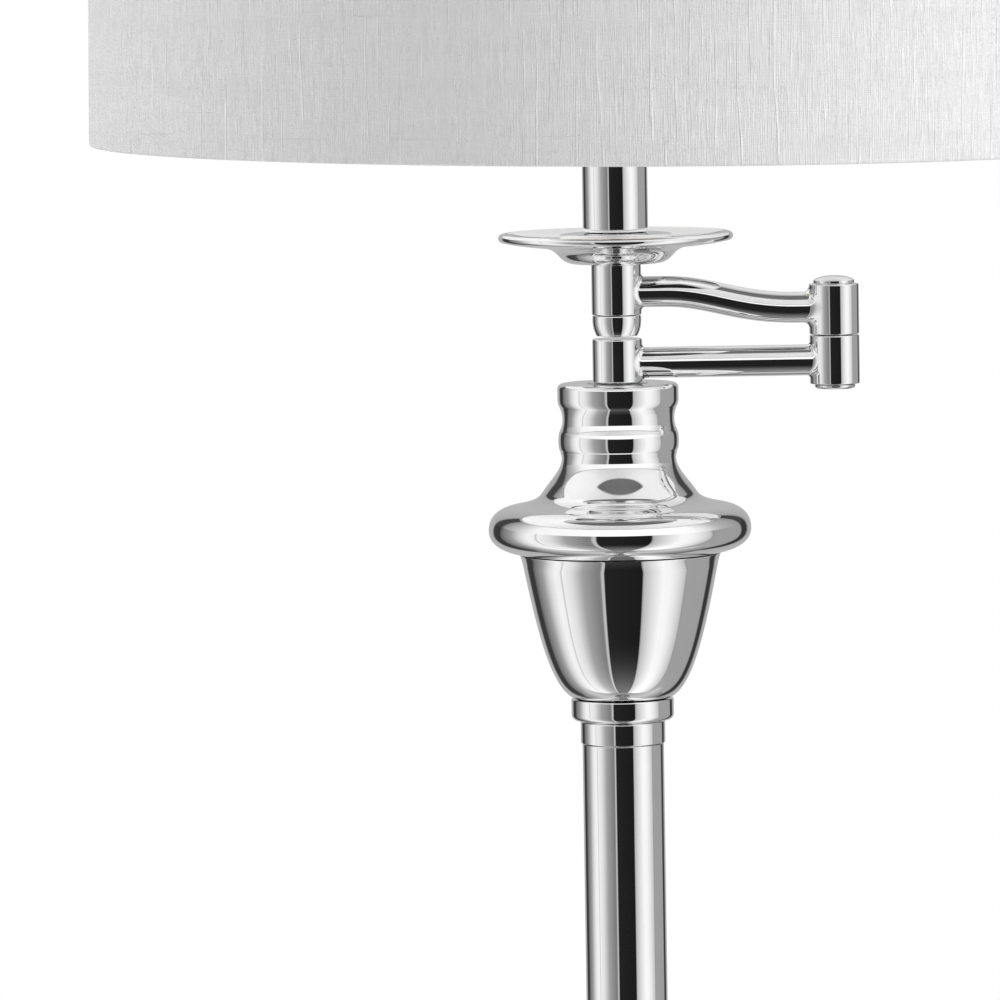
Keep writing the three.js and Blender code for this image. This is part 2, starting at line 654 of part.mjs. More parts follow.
const HUB_Z = HARP_TOP + GAP;
const RING_R = SHADE_R - FABRIC_WALL - LINER_WALL - RING_WIRE_R - 3 * GAP;
const TOP_RING_Z = SHADE_Z + SHADE_H - 3;
function ring(z) {
  return turned(arc(RING_R, z, RING_WIRE_R, 0, 288, 4), FINE);
}
function topFrame() {
  const hub = turned(band(3.6, 12, HUB_Z, HUB_Z + 1.6), SMALL);
  const sweep = new THREE.QuadraticBezierCurve3(
    xz(11, HUB_Z + 1),
    xz(RING_R - 30, HUB_Z + 1),
    xz(RING_R, TOP_RING_Z),
  );
  const spoke = barAlong(sweep, RING_WIRE_R, 0, 6, 6);
  const spokes = [90, 210, 330].map((angle) => spoke.clone().rotateZ(THREE.MathUtils.degToRad(angle)));
  return joined(ring(TOP_RING_Z), ...spokes, hub);
}
add(upper, 'shade_top_frame', topFrame(), 'steel');
add(upper, 'shade_bottom_ring', ring(SHADE_Z + 3), 'steel');
const SHADE_TOP = SHADE_Z + SHADE_H;
const LINER_R = SHADE_R - FABRIC_WALL - GAP;
const linerBand = band(LINER_R - LINER_WALL, LINER_R, SHADE_Z + 0.5, SHADE_TOP - 0.5);
add(upper, 'shade_liner', turned(linerBand, FINE), 'liner');
add(upper, 'shade_fabric', turned(band(SHADE_R - FABRIC_WALL, SHADE_R, SHADE_Z, SHADE_TOP), FINE), 'linen');
add(upper, 'finial', turned([
  [0, HARP_TOP + 15],
  [3.4, HARP_TOP + 15],
  [3.4, HUB_Z + 1.9],
  [8, HUB_Z + 1.9],
  [8, HUB_Z + 4],
  [4.5, HUB_Z + 9],
  [4.5, HUB_Z + 14],
  ...arc(0, HARP_TOP + 26.5, 10.5, -58, 90, 5),
], SMALL), 'chrome');

// ---------------------------------------------------------------------------------------
// Internal lead: one run of two-core lead that crosses each joint on its axis
// ---------------------------------------------------------------------------------------

const LEAD_BEND_R = 4.5;
const PIN_TOP = ELBOW_SEAM + 6.5;

// In the base it runs from the bushing to the axis, then straight up the rod.
const underWeight = roundedRoute([
  [BASE_R - 4.8, CORD_HOLE_Z],
  [BASE_R - 20, 4.6],
  [0, 4.6],
  [0, 30],
], LEAD_BEND_R);
const leadTop = URN_Z + STEM_BOTTOM - GAP;
const columnLead = joined(
  barAlong(underWeight, LEAD_R, 0, 6, 26).rotateZ(Math.PI / 2),
  turned([[0, 26], [LEAD_R, 26], [LEAD_R, leadTop], [0, leadTop]], 6),
);
add(base, 'lead_column', columnLead, 'lead');

const lowerLeadRoute = roundedRoute([
  [0, STEM_BOTTOM],
  [0, LOWER_ARM_Z],
  [LINK, LOWER_ARM_Z],
  [LINK, PIN_TOP],
], LEAD_BEND_R);
add(lower, 'lead_lower_link', barAlong(lowerLeadRoute, LEAD_R, 0, 6, 32), 'lead');

function upperLeadRoute() {
  const route = new THREE.CurvePath();
  const inner = upperArmRoute(6, LINK - 5);
  const start = xz(LINK, PIN_TOP + GAP);
  const intoArm = inner.getPoint(1);
  const outOfArm = inner.getPoint(0);
  route.add(new THREE.QuadraticBezierCurve3(start, xz(LINK, UPPER_ARM_ELBOW_Z), intoArm));
  const reversed = inner.getSpacedPoints(24).reverse();
  for (let i = 1; i < reversed.length; i += 1) {
    route.add(new THREE.LineCurve3(reversed[i - 1], reversed[i]));
  }
  const up = xz(0, UPPER_ARM_HEAD_Z + 6);
  route.add(new THREE.QuadraticBezierCurve3(outOfArm, xz(0, UPPER_ARM_HEAD_Z), up));
  route.add(new THREE.LineCurve3(up, xz(0, SOCKET_Z + 12 - GAP)));
  return route;
}
add(upper, 'lead_upper_link', barAlong(upperLeadRoute(), LEAD_R, 0, 6, 44), 'lead');

export default lamp;
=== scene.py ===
"""Looks of a floor lamp with a folding two-link swing arm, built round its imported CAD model.

Each polished part is turned or swept again as a fine surface on its CAD part's own axis and
levels, and the drum shade gets its linen cover. Blender gets metres with +Z up. Outlines, and the
sizes that they are made of, are in millimetres.
"""

import json
import math

import bmesh
import bpy
from mathutils import Matrix, Quaternion, Vector

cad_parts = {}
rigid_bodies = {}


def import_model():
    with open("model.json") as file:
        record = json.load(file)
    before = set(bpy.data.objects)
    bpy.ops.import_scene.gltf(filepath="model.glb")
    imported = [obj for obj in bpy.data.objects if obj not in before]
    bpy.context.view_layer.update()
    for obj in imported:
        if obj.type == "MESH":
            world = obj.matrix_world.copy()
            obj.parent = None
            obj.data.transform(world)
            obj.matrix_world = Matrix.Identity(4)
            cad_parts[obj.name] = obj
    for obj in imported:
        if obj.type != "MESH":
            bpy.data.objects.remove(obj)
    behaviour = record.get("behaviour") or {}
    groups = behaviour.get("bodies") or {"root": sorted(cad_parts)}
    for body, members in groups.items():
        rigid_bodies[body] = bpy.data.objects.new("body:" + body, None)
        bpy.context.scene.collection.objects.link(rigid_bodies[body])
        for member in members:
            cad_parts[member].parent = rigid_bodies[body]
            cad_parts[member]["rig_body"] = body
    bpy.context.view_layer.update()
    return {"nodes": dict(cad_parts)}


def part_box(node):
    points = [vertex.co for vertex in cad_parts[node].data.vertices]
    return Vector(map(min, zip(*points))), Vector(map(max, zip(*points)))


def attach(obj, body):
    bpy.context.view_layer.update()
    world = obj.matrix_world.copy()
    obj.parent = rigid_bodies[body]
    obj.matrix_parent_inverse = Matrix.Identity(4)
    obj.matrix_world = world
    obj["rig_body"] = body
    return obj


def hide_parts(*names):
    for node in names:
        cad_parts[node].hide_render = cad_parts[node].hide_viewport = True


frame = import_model()

MM = 0.001
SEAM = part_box("pole_upper")[1].z  # top of the pole: the urn, arm and head are measured from here


def heights(node_name):
    """A CAD node's lowest and highest point, in mm above the seam."""
    return [(corner.z - SEAM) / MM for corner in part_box(node_name)]


def reach(node_name):
    """How far a CAD node reaches to the right of the pole's axis, in mm."""
    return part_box(node_name)[1].x / MM


def middle_x(node_name):
    """The x of a CAD node's middle, in mm."""
    low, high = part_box(node_name)
    return (low.x + high.x) / 2 / MM


ELBOW_X = middle_x("elbow_pin")
SADDLE_X = middle_x("harp_ferrule_right")
SHADE_R = reach("shade_fabric")
SHADE_BOTTOM, SHADE_TOP = heights("shade_fabric")

GAP = 0.3  # between neighbouring parts
ROD_HOLE = 5.4  # radius of a hole that the hollow rod passes through
EDGE = 0.35  # radius that breaks a machined edge
SMOOTH_ANGLE = 40  # degrees: a sharper edge stays an edge in the shading
FINE_SIDES = 192
SIDES = 96
SMALL_SIDES = 48
WIRE_SIDES = 24


# ------------------------------------------------
# Outlines
# ------------------------------------------------


def arc(r, z, radius, start, end, steps=12):
    """Points (radius, height) of an arc about (r, z), in degrees."""
    angles = [math.radians(start + (end - start) * i / steps) for i in range(steps + 1)]
    return [(r + radius * math.cos(a), z + radius * math.sin(a)) for a in angles]


def bend(start, start_handle, end_handle, end, steps=20):
    """Points of a cubic curve through its first and last control points."""
    points = []
    for i in range(steps + 1):
        t = i / steps
        weights = ((1 - t) ** 3, 3 * t * (1 - t) ** 2, 3 * t * t * (1 - t), t**3)
        controls = (start, start_handle, end_handle, end)
        points.append(tuple(sum(w * c[k] for w, c in zip(weights, controls)) for k in (0, 1)))
    return points


def band(inner, outer, bottom, top):
    """Outline of a plain ring or tube."""
    return [(inner, bottom), (outer, bottom), (outer, top), (inner, top)]


CORNER = math.radians(24)  # an outline's lesser turns belong to a curve and aren't rounded
WIDEST_TURN = 2.6  # radians, which keeps the tangent of half a turn finite
SIDE_SHARE = 0.42  # part of a side that a rounded corner may take up


def softened(outline, radius, closed):
    """The outline with every sharp corner rounded to the radius, or less where there is no room."""
    points = [Vector(p) for p in outline]
    count = len(points)
    result = []
    for i, corner in enumerate(points):
        if not closed and i in (0, count - 1):
            result.append(tuple(corner))
            continue
        before = points[i - 1] - corner
        after = points[(i + 1) % count] - corner
        turn = math.pi - before.angle(after, 0)
        if turn < CORNER:
            result.append(tuple(corner))
            continue
        wanted = radius * math.tan(min(turn, WIDEST_TURN) / 2)
        cut_back = min(wanted, SIDE_SHARE * before.length, SIDE_SHARE * after.length)
        start = corner + before.normalized() * cut_back
        end = corner + after.normalized() * cut_back
        for step in range(5):
            t = step / 4
            result.append(tuple(start * (1 - t) ** 2 + corner * 2 * t * (1 - t) + end * t * t))
    return result


# ------------------------------------------------
# Meshes
# ------------------------------------------------


def keep_flats(piece):
    """Shades a rounded edge without tilting the flat faces beside it."""
    piece.modifiers.new("flat faces stay flat", "WEIGHTED_NORMAL").keep_sharp = True
    return piece


def piece_from(name, verts, faces, smooth_angle=SMOOTH_ANGLE):
    """Smooth-shaded mesh object with its faces pointing out, and edges sharper than the angle kept."""
    mesh = bpy.data.meshes.new(name)
    mesh.from_pydata(verts, [], faces)
    work = bmesh.new()
    work.from_mesh(mesh)
    bmesh.ops.remove_doubles(work, verts=work.verts, dist=1e-7)
    bmesh.ops.recalc_face_normals(work, faces=work.faces)
    work.to_mesh(mesh)
    work.free()
    for polygon in mesh.polygons:
        polygon.use_smooth = True
    mesh.set_sharp_from_angle(angle=math.radians(smooth_angle))
    piece = bpy.data.objects.new(name, mesh)
    bpy.context.scene.collection.objects.link(piece)
    return keep_flats(piece)


def skin(name, rings, loop=False, **options):
    """Body through rings of points in metres: joined end to end when loop is set, else capped.

    Every ring has the same number of points, or is a single point.
    """
    verts = [tuple(p) for ring in rings for p in ring]
    starts = [sum(len(ring) for ring in rings[:i]) for i in range(len(rings))]
    faces = []
    for a in range(len(rings) if loop else len(rings) - 1):
        b = (a + 1) % len(rings)
        count = max(len(rings[a]), len(rings[b]))
        for i in range(count):
            here, ahead = i, (i + 1) % count
            face = [
                starts[a] + here % len(rings[a]),
                starts[a] + ahead % len(rings[a]),
                starts[b] + ahead % len(rings[b]),
                starts[b] + here % len(rings[b]),
            ]
            faces.append(list(dict.fromkeys(face)))
    if not loop:
        for index, ring in ((0, rings[0]), (len(rings) - 1, rings[-1])):
            if len(ring) > 2:
                faces.append([starts[index] + i for i in range(len(ring))])
    return piece_from(name, verts, faces, **options)


def turned(name, outline, level=0.0, x=0.0, sides=SIDES, edge=EDGE, ribs=(0, 0.0), **options):
    """Body turned about the vertical axis at x (mm), its outline in mm above a level in metres.

    ribs is (count, depth in mm) of the grip ribs round it, and the outline is closed on itself
    unless it starts on the axis.
    """
    closed = outline[0][0] > 0
    count, depth = ribs
    rings = []
    for r, z in softened(outline, edge, closed):
        height = level + z * MM
        if r < 1e-6:
            rings.append([Vector((x * MM, 0, height))])
            continue
        ring = []
        for i in range(sides):
            angle = 2 * math.pi * i / sides
            radius = (r - depth * (0.5 + 0.5 * math.cos(count * angle)) * (count > 0)) * MM
            ring.append(Vector((x * MM + radius * math.cos(angle), radius * math.sin(angle), height)))
        rings.append(ring)
    return skin(name, rings, loop=closed, **options)


def swept(name, route, radius, sides=WIRE_SIDES, loop=False):
    """Round bar of one radius (mm) along a route of points in metres."""
    count = len(route)
    normal = Vector((0, 1, 0))
    rings = []
    for i, point in enumerate(route):
        before = route[i - 1] if loop or i > 0 else point
        after = route[(i + 1) % count] if loop or i < count - 1 else point
        along = (after - before).normalized()
        normal = (normal - along * normal.dot(along)).normalized()
        side = along.cross(normal)
        angles = [2 * math.pi * k / sides for k in range(sides)]
        rings.append([point + (normal * math.cos(a) + side * math.sin(a)) * radius * MM for a in angles])
    return skin(name, rings, loop=loop)


def spline(points, steps=10):
    """Smooth route through points, as centripetal Catmull-Rom curves."""
    route = [Vector(p) for p in points]
    padded = [route[0] * 2 - route[1], *route, route[-1] * 2 - route[-2]]
    result = []
    for a, b, c, d in zip(padded, padded[1:], padded[2:], padded[3:]):
        ab, bc, cd = (b - a).length ** 0.5, (c - b).length ** 0.5, (d - c).length ** 0.5
        leave = ((b - a) / ab - (c - a) / (ab + bc) + (c - b) / bc) * bc
        arrive = ((c - b) / bc - (d - b) / (bc + cd) + (d - c) / cd) * bc
        for i in range(steps):
            t = i / steps
            square, cube = t * t, t**3
            result.append(
                b * (2 * cube - 3 * square + 1)
                + leave * (cube - 2 * square + t)
                + c * (3 * square - 2 * cube)
                + arrive * (cube - square)
            )
    return [*result, route[-1]]


def at(x, z, y=0.0):
    """Point in metres from millimetres, its height above the seam."""
    return Vector((x * MM, y * MM, SEAM + z * MM))


def merged(name, *pieces):
    """One piece made of several closed bodies."""
    work = bmesh.new()
    for piece in pieces:
        work.from_mesh(piece.data)
        bpy.data.objects.remove(piece)
    mesh = bpy.data.meshes.new(name)
    work.to_mesh(mesh)
    work.free()
    result = bpy.data.objects.new(name, mesh)
    bpy.context.scene.collection.objects.link(result)
    return keep_flats(result)


def cut(piece, cutter):
    """The piece with the cutter's volume taken out."""
    piece.modifiers.clear()
    modifier = piece.modifiers.new("cut", "BOOLEAN")
    modifier.object = cutter
    modifier.solver = "EXACT"
    evaluated = piece.evaluated_get(bpy.context.evaluated_depsgraph_get())
    mesh = bpy.data.meshes.new_from_object(evaluated)
    piece.modifiers.clear()
    piece.data = mesh
    bpy.data.objects.remove(cutter)
    mesh.set_sharp_from_angle(angle=math.radians(SMOOTH_ANGLE))
    return keep_flats(piece)


def drill(radius, bottom, top, level=0.0):
    """Upright cutter for a round hole."""
    outline = [(0, bottom), (radius, bottom), (radius, top), (0, top)]
    return turned("hole", outline, level, sides=SMALL_SIDES, edge=0)


def dress(piece, finish, *nodes):
    """Gives a piece its finish. It stands for CAD nodes and rides on their body."""
    piece.data.materials.clear()
    piece.data.materials.append(FINISHES[finish])
    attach(piece, frame["nodes"][nodes[0]]["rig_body"])
    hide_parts(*nodes)
    return piece


# ------------------------------------------------
# Materials
# ------------------------------------------------


def node(tree, kind, inputs=None, **settings):
    """Adds a node. Its inputs take plain values, or another node's output socket."""
    made = tree.nodes.new(kind)
    for key, value in settings.items():
        setattr(made, key, value)
    for key, value in (inputs or {}).items():
        if isinstance(value, bpy.types.NodeSocket):
            tree.links.new(value, made.inputs[key])
        else:
            made.inputs[key].default_value = value
    return made


def math_node(tree, operation, *values):
    """Result of a sum over plain values and output sockets."""
    return node(tree, "ShaderNodeMath", dict(enumerate(values)), operation=operation).outputs[0]


def remap(tree, value, low, high, to_low, to_high, kind="SMOOTHSTEP"):
    """The value carried from one range to another, and held at its ends."""
    inputs = {"Value": value, "From Min": low, "From Max": high, "To Min": to_low, "To Max": to_high}
    return node(tree, "ShaderNodeMapRange", inputs, interpolation_type=kind).outputs["Result"]


def ramp(tree, factor, stops):
    """Straight colour ramp through (position, grey or colour) stops."""
    made = node(tree, "ShaderNodeValToRGB", {"Fac": factor})
    made.color_ramp.interpolation = "LINEAR"
    elements = made.color_ramp.elements
    elements[0].position, elements[-1].position = stops[0][0], stops[-1][0]
    for position, _ in stops[1:-1]:
        elements.new(position)
    for element, (_, value) in zip(elements, stops):
        element.color = (*value, 1) if hasattr(value, "__len__") else (value, value, value, 1)
    return made.outputs["Color"]


def grain(tree, vector, stretch, detail=3.0, roughness=0.6):
    """Noise whose grains have the given size per axis, in mm."""
    scale = tuple(1 / (size * MM) for size in stretch)
    mapped = node(tree, "ShaderNodeMapping", {"Vector": vector, "Scale": scale})
    inputs = {"Vector": mapped.outputs[0], "Scale": 1.0, "Detail": detail, "Roughness": roughness}
    return node(tree, "ShaderNodeTexNoise", inputs).outputs["Fac"]


def start_material(name, **values):
    """New material: its tree, its shader with the plain values set, and object coordinates."""
    material = bpy.data.materials.new(name)
    material.use_nodes = True
    tree = material.node_tree
    shader = tree.nodes["Principled BSDF"]
    for key, value in values.items():
        shader.inputs[key.replace("_", " ")].default_value = value
    position = node(tree, "ShaderNodeTexCoord").outputs["Object"]
    return material, tree, shader, position


def relief(tree, shader, height, depth):
    """Bump on a shader from a height between 0 and 1, its full depth in mm."""
    bump = node(tree, "ShaderNodeBump", {"Height": height, "Distance": depth * MM, "Strength": 1.0})
    tree.links.new(bump.outputs["Normal"], shader.inputs["Normal"])


def tint(tree, shader, factor, stops):
    """Base colour from a ramp."""
    tree.links.new(ramp(tree, factor, stops), shader.inputs["Base Color"])


def uneven_gloss(tree, shader, noise, smoothest, roughest):
    """Roughness that follows a noise."""
    tree.links.new(remap(tree, noise, 0.3, 0.7, smoothest, roughest), shader.inputs["Roughness"])


def chrome():
    """Mirror chrome with the faint waviness of polished tube and a trace of dust and wiping."""
    material, tree, shader, position = start_material("chrome", Metallic=1.0)
    haze = grain(tree, position, (9, 9, 14), 4)
    specks = grain(tree, position, (0.5, 0.5, 0.5), 1)
    dust = remap(tree, specks, 0.68, 0.78, 0.0, 0.05)
    wiped = remap(tree, haze, 0.35, 0.75, 0.015, 0.04)
    tree.links.new(math_node(tree, "ADD", wiped, dust), shader.inputs["Roughness"])
    tint(tree, shader, haze, [(0.3, (0.9, 0.9, 0.905)), (0.7, 0.93)])
    relief(tree, shader, grain(tree, position, (16, 16, 40), 1), 0.02)
    return material


def plated_steel():
    """Zinc plate: fine turning lines with cloudy patches."""
    material, tree, shader, position = start_material("steel", Metallic=1.0)
    clouds = grain(tree, position, (6, 6, 6), 4)
    lines = grain(tree, position, (8, 8, 0.15), 2)
    tint(tree, shader, clouds, [(0.3, (0.5, 0.51, 0.53)), (0.7, (0.72, 0.73, 0.74))])
    uneven_gloss(tree, shader, lines, 0.24, 0.42)
    relief(tree, shader, lines, 0.02)
    return material


def cast_iron():
    """Sand-cast skin under a thin sealer."""
    material, tree, shader, position = start_material("cast_iron", Metallic=0.6)
    sand = grain(tree, position, (1.2, 1.2, 1.2), 6)
    tint(tree, shader, sand, [(0.3, (0.05, 0.05, 0.055)), (0.7, (0.16, 0.155, 0.15))])
    uneven_gloss(tree, shader, sand, 0.55, 0.85)
    relief(tree, shader, sand, 0.5)
    return material


def brass():
    """Satin brass, brushed along its height, duller where it was handled."""
    material, tree, shader, position = start_material("brass", Metallic=1.0)
    handled = grain(tree, position, (7, 7, 7), 4)
    lines = grain(tree, position, (0.2, 0.2, 9), 2)
    tint(tree, shader, handled, [(0.3, (0.62, 0.45, 0.19)), (0.7, (0.83, 0.66, 0.34))])
    uneven_gloss(tree, shader, lines, 0.2, 0.36)
    relief(tree, shader, lines, 0.015)
    return material


def felt():
    """Pressed felt: tangled fibres with a soft nap."""
    material, tree, shader, position = start_material("felt", Roughness=1.0, Sheen_Weight=0.5)
    lengthwise = grain(tree, position, (0.3, 1.4, 0.4), 4, 0.7)
    crosswise = grain(tree, position, (1.4, 0.3, 0.4), 4, 0.7)
    tufts = grain(tree, position, (3, 3, 3), 4)
    fibres = math_node(tree, "MAXIMUM", lengthwise, crosswise)
    nap = math_node(tree, "MULTIPLY", fibres, tufts)
    tint(tree, shader, nap, [(0.15, (0.012, 0.012, 0.013)), (0.45, (0.06, 0.06, 0.062))])
    relief(tree, shader, fibres, 0.4)
    return material


def black_plastic():
    """Moulded black plastic with a fine spark-eroded texture."""
    material, tree, shader, position = start_material("black_plastic", Specular_IOR_Level=0.5)
    texture = grain(tree, position, (0.25, 0.25, 0.25), 2)
    tint(tree, shader, texture, [(0.3, (0.012, 0.012, 0.013)), (0.7, (0.03, 0.03, 0.031))])
    uneven_gloss(tree, shader, texture, 0.32, 0.5)
    relief(tree, shader, texture, 0.03)
    return material


def lead():
    """Clear gold jacket over two twisted cores."""
    material, tree, shader, position = start_material("lead", Roughness=0.3, Coat_Weight=0.4)
    twist = grain(tree, position, (1.5, 1.5, 3), 1)
    tint(tree, shader, twist, [(0.35, (0.3, 0.19, 0.05)), (0.65, (0.62, 0.46, 0.18))])
    relief(tree, shader, twist, 0.2)
    return material


def card():
    """Fibre card with flecks."""
    material, tree, shader, position = start_material("card", Roughness=0.85)
    flecks = grain(tree, position, (0.4, 0.4, 1.2), 4)
    tint(tree, shader, flecks, [(0.3, (0.42, 0.31, 0.18)), (0.7, (0.68, 0.56, 0.38))])
    relief(tree, shader, flecks, 0.08)
    return material


def liner():
    """White styrene sheet, faintly calendered. Its weak glow stands for daylight coming through it."""
    material, tree, shader, position = start_material(
        "liner", Specular_IOR_Level=0.4, Emission_Strength=0.15)
    shader.inputs["Emission Color"].default_value = (1, 1, 1, 1)
    sheet = grain(tree, position, (30, 30, 4), 3)
    tint(tree, shader, sheet, [(0.3, 0.83), (0.7, 0.88)])
    uneven_gloss(tree, shader, sheet, 0.42, 0.58)
    relief(tree, shader, sheet, 0.05)
    return material


def frosted_glass():
    """Soft-white bulb: a powder coat inside thin glass."""
    material, tree, shader, position = start_material(
        "glass", Coat_Weight=1.0, Coat_Roughness=0.04, Roughness=0.5)
    powder = grain(tree, position, (6, 6, 6), 5)
    tint(tree, shader, powder, [(0.3, (0.86, 0.855, 0.83)), (0.7, (0.92, 0.915, 0.9))])
    relief(tree, shader, powder, 0.02)
    return material


def linen():
    """Plain-weave linen laid round the drum, its slubs (thick places in the yarn) mostly upright.

    The cloth's own coordinates are the distance round the shade and the height.
    """
    material, tree, shader, position = start_material(
        "linen", Roughness=0.9, Specular_IOR_Level=0.2, Sheen_Weight=0.25, Sheen_Roughness=0.5)
    x, y, height = node(tree, "ShaderNodeSeparateXYZ", {0: position}).outputs
    around = math_node(tree, "ARCTAN2", x, math_node(tree, "MULTIPLY", y, -1.0))
    along = math_node(tree, "MULTIPLY", around, SHADE_R * MM)
    cloth = node(tree, "ShaderNodeCombineXYZ", {0: along, 1: height}).outputs[0]

    def threads(place, spacing, drift, wander, width):
        """Ridges a spacing apart (mm) that wander with a drifting noise: 1 along their middles."""
        shifted = math_node(tree, "ADD", place, math_node(tree, "MULTIPLY", drift, wander * MM))
        wave = math_node(tree, "COSINE", math_node(tree, "MULTIPLY", shifted, 2 * math.pi / (spacing * MM)))
        return remap(tree, wave, math.cos(math.pi * width / spacing), 1.0, 0.0, 1.0)

    def fuzz(stretch):
        """Fine streaks with the given size per axis, in mm."""
        return remap(tree, grain(tree, cloth, stretch, 2, 0.7), 0.35, 0.65, 0.0, 1.0)

    def patchy(line, patch, share):
        """The line, kept only where a noise of the patch size is in its upper part."""
        kept = remap(tree, grain(tree, cloth, patch, 1), 1 - share, 1.08 - share, 0.0, 1.0)
        return math_node(tree, "MULTIPLY", line, kept)

    warp_drift = grain(tree, cloth, (9, 70, 1), 1)
    weft_drift = grain(tree, cloth, (70, 9, 1), 1)
    pitch = 0.8
    warp = threads(along, pitch, warp_drift, 5, pitch)
    weft = threads(height, pitch, weft_drift, 5, pitch)
    tension = remap(tree, grain(tree, cloth, (0.9, 1.6, 1), 1), 0.4, 0.6, 0.15, 1.0)
    weave = math_node(tree, "MULTIPLY", warp, weft)
    layers = [
        (math_node(tree, "MULTIPLY", weave, tension), 0.42),
        (fuzz((0.4, 22, 1)), 0.32),
        (fuzz((8, 0.5, 1)), 0.06),
        (patchy(threads(along, 4.7, warp_drift, 6, 0.75), (5, 48, 1), 0.52), 0.6),
        (patchy(threads(along, 2.9, warp_drift, -5, 0.6), (3, 20, 1), 0.45), 0.35),
        (patchy(threads(height, 9.0, weft_drift, 7, 0.7), (45, 4, 1), 0.45), 0.3),
    ]
    surface = 0.0
    for value, weight in layers:
        surface = math_node(tree, "ADD", math_node(tree, "MULTIPLY", value, weight), surface)
    relief(tree, shader, surface, 0.48)
    tint(tree, shader, surface, [(0.05, 0.81), (0.35, 0.846), (0.6, 0.88), (0.95, 0.985)])
    return material


FINISHES = {
    "chrome": chrome(),
    "steel": plated_steel(),
    "cast_iron": cast_iron(),
    "brass": brass(),
    "felt": felt(),
    "black_plastic": black_plastic(),
    "lead": lead(),
    "card": card(),
    "liner": liner(),
    "linen": linen(),
    "glass": frosted_glass(),
}


def finish_cad_nodes():
    """Every CAD node gets the procedural material of its own slot."""
    for part in frame["nodes"].values():
        for place in part.material_slots:
            slot = place.material.name.split(".")[0]
            if slot not in FINISHES:
                raise ValueError(f"{part.name} has the unknown finish {slot}")
            place.material = FINISHES[slot]


# ------------------------------------------------
# Base and pole: heights above the floor
# ------------------------------------------------


COVER_WALL = 1.2
POLE_WALL = 1.4


def make_base():
    low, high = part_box("felt_pad")
    radius, thickness = high.x / MM, high.z / MM
    pad = [(0, low.z / MM), (radius, low.z / MM), (radius, thickness), (0, thickness)]
    dress(turned("felt_underside", pad, sides=FINE_SIDES, edge=0.8), "felt", "felt_pad")

    low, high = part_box("base_cover")
    rim, foot, top = high.x / MM, low.z / MM, high.z / MM
    cover = [
        (rim - COVER_WALL, foot),
        (rim, foot),
        *arc(rim - 5, 13, 5, 0, 80),
        *bend((rim - 9, 19), (100, 23), (84, 25), (64, top - 6), 36),
        *arc(60, top - 4, 4, 0, 90),
        (ROD_HOLE, top),
        (ROD_HOLE, top - COVER_WALL),
        (60, top - COVER_WALL),
        *bend((62.5, top - 7.2), (84, 23.8), (100, 21.8), (rim - 9, 17.6), 36),
        *arc(rim - 6.2, 12.2, 4, 80, 0),
    ]
    body = turned("spun_base_cover", cover, sides=FINE_SIDES)
    hole = drill(4.3, -14, 14)
    bushing_low, bushing_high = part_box("cord_bushing")
    centre = (bushing_low + bushing_high) / 2
    hole.data.transform(Matrix.Translation(centre) @ Matrix.Rotation(math.pi / 2, 4, "X"))
    dress(cut(body, hole), "chrome", "base_cover")

    depth = (bushing_high.y - bushing_low.y) / MM
    bushing = [  # along its own axis
        (2.6, 0.0),
        (4.8, 0.0),
        (4.8, 1.8),
        (3.9, 2.2),
        (3.9, depth - 1.0),
        (3.4, depth),
        (2.6, depth),
    ]
    grommet = turned("cord_grommet", bushing, sides=SMALL_SIDES)
    place = Matrix.Translation((0, bushing_low.y, centre.z)) @ Matrix.Rotation(-math.pi / 2, 4, "X")
    grommet.data.transform(place)
    dress(grommet, "black_plastic", "cord_bushing")


def make_pole():
    radius = reach("pole_lower")
    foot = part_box("pole_lower")[0].z / MM
    spigot = radius - POLE_WALL - GAP
    seat_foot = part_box("pole_seat")[0].z / MM
    seat = [
        (ROD_HOLE, seat_foot),
        *arc(21, seat_foot + 2.5, 2.5, -90, 90, 20),
        *bend((19.5, foot - 6), (18.2, foot - 4), (17.5, foot - 3), (17.5, foot - GAP)),
        (spigot, foot - GAP),
        (spigot, foot + 18),
        (ROD_HOLE, foot + 18),
    ]
    dress(turned("turned_pole_seat", seat), "chrome", "pole_seat")
    for node_name in ("pole_lower", "pole_upper"):
        low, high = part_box(node_name)
        tube = band(radius - POLE_WALL, radius, low.z / MM, high.z / MM)
        dress(turned(f"{node_name}_tube", tube, edge=0.25), "chrome", node_name)


# ------------------------------------------------
# Urn: heights above the seam, as in every function below
# ------------------------------------------------


